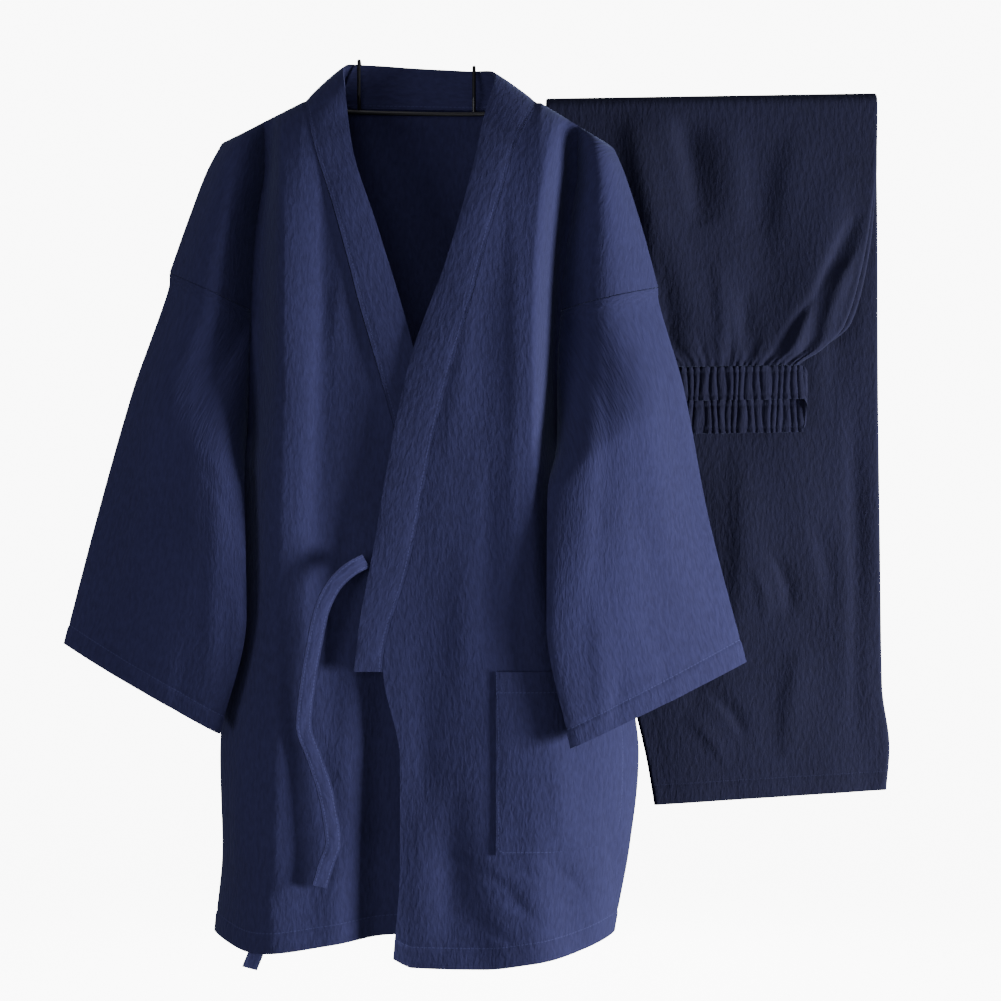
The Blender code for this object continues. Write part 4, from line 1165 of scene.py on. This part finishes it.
def strap(name, path, surface):
    """A flat tie along a path of points, its width square to the path and facing the viewer."""
    path = np.asarray(path, float)
    along = np.gradient(path, axis=0)
    across = paired(-along[:, 2], np.zeros(len(path)), along[:, 0])
    across /= np.linalg.norm(across, axis=1)[:, None]
    across[:, 1] = TIE_TURN * across[:, 0]
    shares = spread(-0.5, 0.5, 9)
    rows = [path + across * TIE_WIDTH * t for t in shares]
    side, run = np.repeat(shares, len(path)), np.tile(lengths_along(path), len(shares))
    flat = paired(side * TIE_WIDTH, run)
    sheet = sheet_of(np.concatenate(rows), grid_quads(len(shares), len(path)), flat)
    out = -np.sign(sheet.normals[:, 1].sum())
    ends = smoothstep(0, 12, np.minimum(run, run.max() - run))
    crown = np.cos(np.pi * side)
    height = 0.7 * crown**0.7 + 0.3 * np.sin(run / 7.0 + 4 * side) * crown
    height -= 0.45 * bell(abs(side) * TIE_WIDTH - TIE_STITCH, 0.8)
    stitch = paired(run, abs(side) * TIE_WIDTH + HEM_TURN - TIE_STITCH)
    return cloth(name, sheet, TIE_CLOTH, out, height * ends, stitch, surface)


def pocket(outer, surface):
    """The patch pocket: the outer front's own points over its area, moved out."""
    rows = range(BAND_ROW, POCKET_LAST_ROW + 1)
    columns = range(POCKET_COLUMNS[0], POCKET_COLUMNS[1] + 1)
    index = [r * outer.columns + c for r in rows for c in columns]
    normals = outer.sheet.normals[index]
    out = -np.sign(normals[:, 1].sum())
    points = outer.sheet.points[index] + normals * (out * (CLOTH + SEAM))
    flat = outer.sheet.flat[index]
    drop = flat[:, 1]
    from_top = drop - drop.min()
    across = flat[:, 0]
    inside = np.minimum(drop.max() - drop, np.minimum(across - across.min(), across.max() - across))
    nearer = abs(inside - POCKET_STITCH) < abs(from_top - HEM_TURN)
    seamed = np.where(nearer, inside + HEM_TURN - POCKET_STITCH, from_top)
    relief = 0.5 * hem_relief(from_top) + 0.8 * np.clip(inside / 8, 0, 1) ** 0.5
    relief += 0.5 * unevenness(across * 1.7, drop) - 0.5 * bell(inside - POCKET_STITCH, 1.0)
    sheet = Sheet(points, np.array(grid_quads(len(rows), len(columns))), normals, flat)
    stitch = paired(across + drop, seamed)
    return cloth("pocket_cloth", sheet, CLOTH, out, np.maximum(relief, -0.4), stitch, surface)


def ties(surface):
    """The tie on the outer front's edge, led over the fronts, and the one that hangs inside the side."""
    x, drop, lift = (np.array([getattr(p, name) for p in FRONT_TIE], float) for name in TiePoint._fields)
    path = paired(x, -(front_depth(x, drop) + lift), -drop)
    front = strap("tie_front_cloth", smooth_path(path, TIE_POINTS), surface)
    path = np.array([(p.x, -p.lift, -p.drop) for p in SIDE_TIE], float)
    return front, strap("tie_side_cloth", smooth_path(path, TIE_POINTS), surface)


def leg_layer(table, layer, drop):
    """How far out from the rod a leg's tube starts, and how hollow it is, at this drop."""
    hollow = column(table, "hollow", drop)
    return LEG_GAP + layer * (2 * TROUSER_CLOTH + hollow + LEG_GAP), hollow


def leg_gathers(x, drop):
    """The small folds that run up from the waist's gathers and fade into the leg."""
    left, right = column(FRONT_RUN, "left", drop), column(FRONT_RUN, "right", drop)
    across = (x - left) / (right - left)
    uneven = across + 0.010 * np.sin(across * 19 + 1.0) + 0.006 * np.sin(across * 47)
    fold = np.abs(np.sin(np.pi * WAIST_GATHERS / 2 * uneven)) ** 0.8
    broad = np.abs(np.sin(np.pi * 9 * uneven + 0.6))
    narrow = 1.5 * fold * smoothstep(212, 240, drop)
    wide = 2.0 * broad * (1 - 0.6 * smoothstep(225, 240, drop))
    return smoothstep(196, 238, drop) * (narrow + wide)


def leg_stations(piece):
    """The stops along a leg, as its table, drop and turn about the rod."""
    front = joined([35.0], spread(38, 190, 34), spread(192, 240, 25))
    if piece.front_end > front[-1]:
        front = np.append(front, spread(243, piece.front_end, 10))
    stations = [(FRONT_RUN, drop, 0.0) for drop in front[::-1]]
    stations += [(FRONT_RUN, drop, 0.0) for drop in (25.0, 15.0, 6.0)]
    stations += [(FRONT_RUN, 0.0, turn) for turn in np.radians(spread(0, 180, 17))]
    hem = piece.back_end
    back = joined(spread(6, hem - 24, 96), spread(hem - 22, hem, 12))
    return stations + [(BACK_RUN, drop, np.pi) for drop in back]


def leg(piece, surface):
    """A leg tube folded over the rod, from its waist end in front to its hem behind."""
    skins, flat, sewn = [[], []], [], []
    stations = leg_stations(piece)
    for table, drop, turn in stations:
        start, hollow = leg_layer(table, piece.layer, drop)
        edge_left, edge_right, lift = (column(table, name, drop) for name in ("left", "right", "lift"))
        narrowed = piece.inset * smoothstep(0, 200, drop)
        narrowed += 0 if turn else piece.taper * smoothstep(200, 240, drop)
        left, right = edge_left + narrowed / 2, edge_right - narrowed
        radius = TROUSER_CLOTH + hollow / 2
        caps = np.radians(spread(0, 180, 9)[1:-1])
        shared = spread(edge_left + 15, edge_right - 15, LEG_COLUMNS - 10)
        first = spread(left + radius, shared[0], 6)[:-1]
        last = spread(shared[-1], right - radius, 6)[1:]
        runs = np.array([*first, *shared, *last])
        from_edge = piece.back_end - drop if turn and drop else FAR
        raised = float(hem_relief(from_edge))
        for skin_points, reach in zip(skins, (radius, hollow / 2)):
            round_end, level = reach * np.sin(caps), np.ones(LEG_COLUMNS)
            x = joined(runs, runs[-1] + round_end, runs[::-1], runs[0] - round_end)
            side = joined(level, np.cos(caps), -level, -np.cos(caps))
            thick = reach + (raised if reach > hollow / 2 else 0.0)
            out = ROD_RADIUS + start + radius + side * thick
            if turn in (0.0, np.pi):
                to_edge = np.minimum(x - edge_left, edge_right - x)
                held = smoothstep(4, 22, to_edge) * smoothstep(2, 30, drop)
                if turn:
                    height = creases_at(LEG_BACK_CREASES, x, drop) + unevenness(x, drop)
                    out = out + lift - held * height
                else:
                    held = held * (1 - smoothstep(228, 240, drop))
                    out = out + lift + folds_at(TROUSER_FOLDS, x, drop) * smoothstep(15, 40, to_edge)
                    out = out + held * creases_at(LEG_FRONT_CREASES, x, drop)
                    if piece.layer:
                        out = out + smoothstep(0, 10, to_edge) * leg_gathers(x, drop)
            below = drop + (HEM_SLANT * (325 - x) * (drop / 640) ** 4 if turn else 0.0)
            y, z = -out * np.cos(turn), out * np.sin(turn) - below
            skin_points.append(paired(x, y, z + ROD_SLOPE * x))
        run = (drop if table is BACK_RUN else -drop) + 8.0 * turn
        flat.append(paired(x, np.full(len(x), run)))
        sewn.append(paired(x, np.full(len(x), from_edge)))
    count = len(skins[0][0])
    outer, inner = (np.concatenate(skin_points) for skin_points in skins)
    quads = grid_quads(len(stations), count, closed=True)
    half = LEG_COLUMNS + 7
    quads = [quad if quad[0] % count < half else quad[1:] + quad[:1] for quad in quads]
    flat, sewn = np.concatenate(flat), np.concatenate(sewn)
    return skin(piece.name + "_cloth", outer, inner, quads, flat, sewn, surface)


def waistband(surface):
    """One gathered loop: its front run above, its rear run hanging lower, turned round at both ends."""
    (left, right), (front, rear) = WAIST_ENDS, WAIST_RUNS
    radius, middle = (rear - front) / 2, (front + rear) / 2
    run, turn = right - left, np.pi * radius
    length = 2 * (run + turn)
    count = WAIST_GATHERS * 10
    at = spread(0, length, count + 1)[:-1]
    turned = np.clip((at - run) / radius, 0, np.pi) + np.clip((at - 2 * run - turn) / radius, 0, np.pi)
    x = left + np.clip(at, 0, run) - np.clip(at - run - turn, 0, run) + radius * np.sin(turned)
    y = middle - radius * np.cos(turned)
    behind = smoothstep(run, run + turn, at)
    lower = behind * (1 - smoothstep(2 * run + turn, length, at))
    around = 2 * np.pi * at / length
    uneven = at + 0.5 * length / WAIST_GATHERS * behind
    uneven += 1.6 * np.sin(7 * around) + 0.9 * np.sin(17 * around + 1)
    swell = 0.82 + 0.18 * np.cos(13 * around + 2)
    rows, flat, relief = [], [], []
    heights = spread(0.0, 1.0, 15)
    for height in heights:
        lean = 0.8 * np.sin(2 * np.pi * 0.6 * height + 9 * around)
        fold = swell * np.abs(np.sin(np.pi * WAIST_GATHERS * (uneven + lean) / length))
        drop = WAIST_TOP + lower * WAIST_STEP + height * WAIST_HEIGHT + 0.6 * fold * (2 * height - 1)
        rows.append(paired(x, y, ROD_SLOPE * x - drop))
        flat.append(paired(at * WAIST_FULLNESS, np.full(count, height * WAIST_HEIGHT)))
        channel = bell(min(height, 1 - height) * WAIST_HEIGHT - WAIST_STITCH, 1.6)
        relief.append((1 - 2 * lower) * (0.1 + 1.9 * fold * (1 - 0.55 * channel) - 0.5 * channel))
    quads = grid_quads(len(heights), count, closed=True)
    sheet = sheet_of(np.concatenate(rows), quads, np.concatenate(flat))
    out = -np.sign(sheet.normals[count // 8, 1])
    moved = sheet.points + sheet.normals * (out * np.concatenate(relief))[:, None]
    sheet = sheet_of(moved, sheet.quads, sheet.flat)
    level, unsewn = np.zeros(len(moved)), np.full((len(moved), 2), FAR)
    return cloth("waistband_cloth", sheet, TROUSER_CLOTH, out, level, unsewn, surface)


Panel = namedtuple("Panel", "sheet armholes columns out rows")


def jacket(surface):
    """Every piece of the jacket, by the node that it stands for."""
    levels = [(CHEST, share) for share in spread(0, 1, UPPER_ROWS) ** 1.4]
    levels += [(level, 1.0) for level in LOWER_LEVELS]
    panels = {}
    for name, table, hem, lap, edge, creases in (
        ("jacket_front_right", INNER_FRONT, INNER_HEM, 0.0, RIGHT_WING_EDGE, INNER_FRONT_CREASES),
        ("jacket_front_left", OUTER_FRONT, OUTER_HEM, LAP, LEFT_WING_EDGE, OUTER_FRONT_CREASES),
    ):
        rows = [front_row(table, hem, lap, level, share) for level, share in levels]
        columns = len(rows[0])
        sheet, armholes, out = panel(rows, -1, [(columns - 1, edge)], creases)
        panels[name] = Panel(sheet, armholes, columns, out, len(rows))
    rows = [back_row(level, share) for level, share in levels]
    columns = len(rows[0])
    wings = [(0, RIGHT_WING_EDGE), (columns - 1, LEFT_WING_EDGE)]
    sheet, armholes, out = panel(rows, 1, wings, BACK_CREASES)
    back = panels["jacket_back"] = Panel(sheet, armholes, columns, out, len(rows))
    inner, outer = panels["jacket_front_right"], panels["jacket_front_left"]
    sleeves = {
        name: sleeve(table, (front.sheet, front.armholes[0]), (back.sheet, armhole), creases)
        for name, table, front, armhole, creases in (
            ("sleeve_right", RIGHT_SLEEVE, inner, armholes[0], RIGHT_SLEEVE_CREASES),
            ("sleeve_left", LEFT_SLEEVE, outer, armholes[1], LEFT_SLEEVE_CREASES),
        )
    }
    made = {}
    for name, part in panels.items():
        relief, stitch = hem_of(part.sheet, part.rows, part.columns, levels)
        made[name] = cloth(name + "_cloth", part.sheet, CLOTH, part.out, relief, stitch, surface)
    for name, (sheet, out, relief, stitch) in sleeves.items():
        made[name] = cloth(name + "_cloth", sheet, CLOTH, out, relief, stitch, surface)
    made["collar_band"] = collar(inner, outer, back, surface)
    made["pocket"] = pocket(outer, surface)
    made["tie_front"], made["tie_side"] = ties(surface)
    for piece in made.values():
        piece.location = (0.0, -JACKET_FORWARD * MM, -JACKET_DROP * MM)
    bpy.context.view_layer.update()
    return made


def main():
    cotton = fabric("indigo_cotton", 1.0)
    # The trousers take the jacket's cotton, darkened as painted shade
    trousers_cotton_painted_shade = fabric("indigo_cotton_in_painted_shade", TROUSER_PAINTED_SHADE)
    steel = metal()
    made = jacket(cotton)
    for piece in LEG_PIECES:
        made[piece.name] = leg(piece, trousers_cotton_painted_shade)
    made["waistband"] = waistband(trousers_cotton_painted_shade)
    for name, piece in made.items():
        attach(piece, "root")
        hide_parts(name)
    # The rod keeps its own near-black; on the hanger and its hooks the near-black is painted shade along
    # the back collar's seam
    for name in ("rod", "hanger", "hook_left", "hook_right"):
        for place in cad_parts[name].material_slots:
            place.material = steel
    studio()


main()
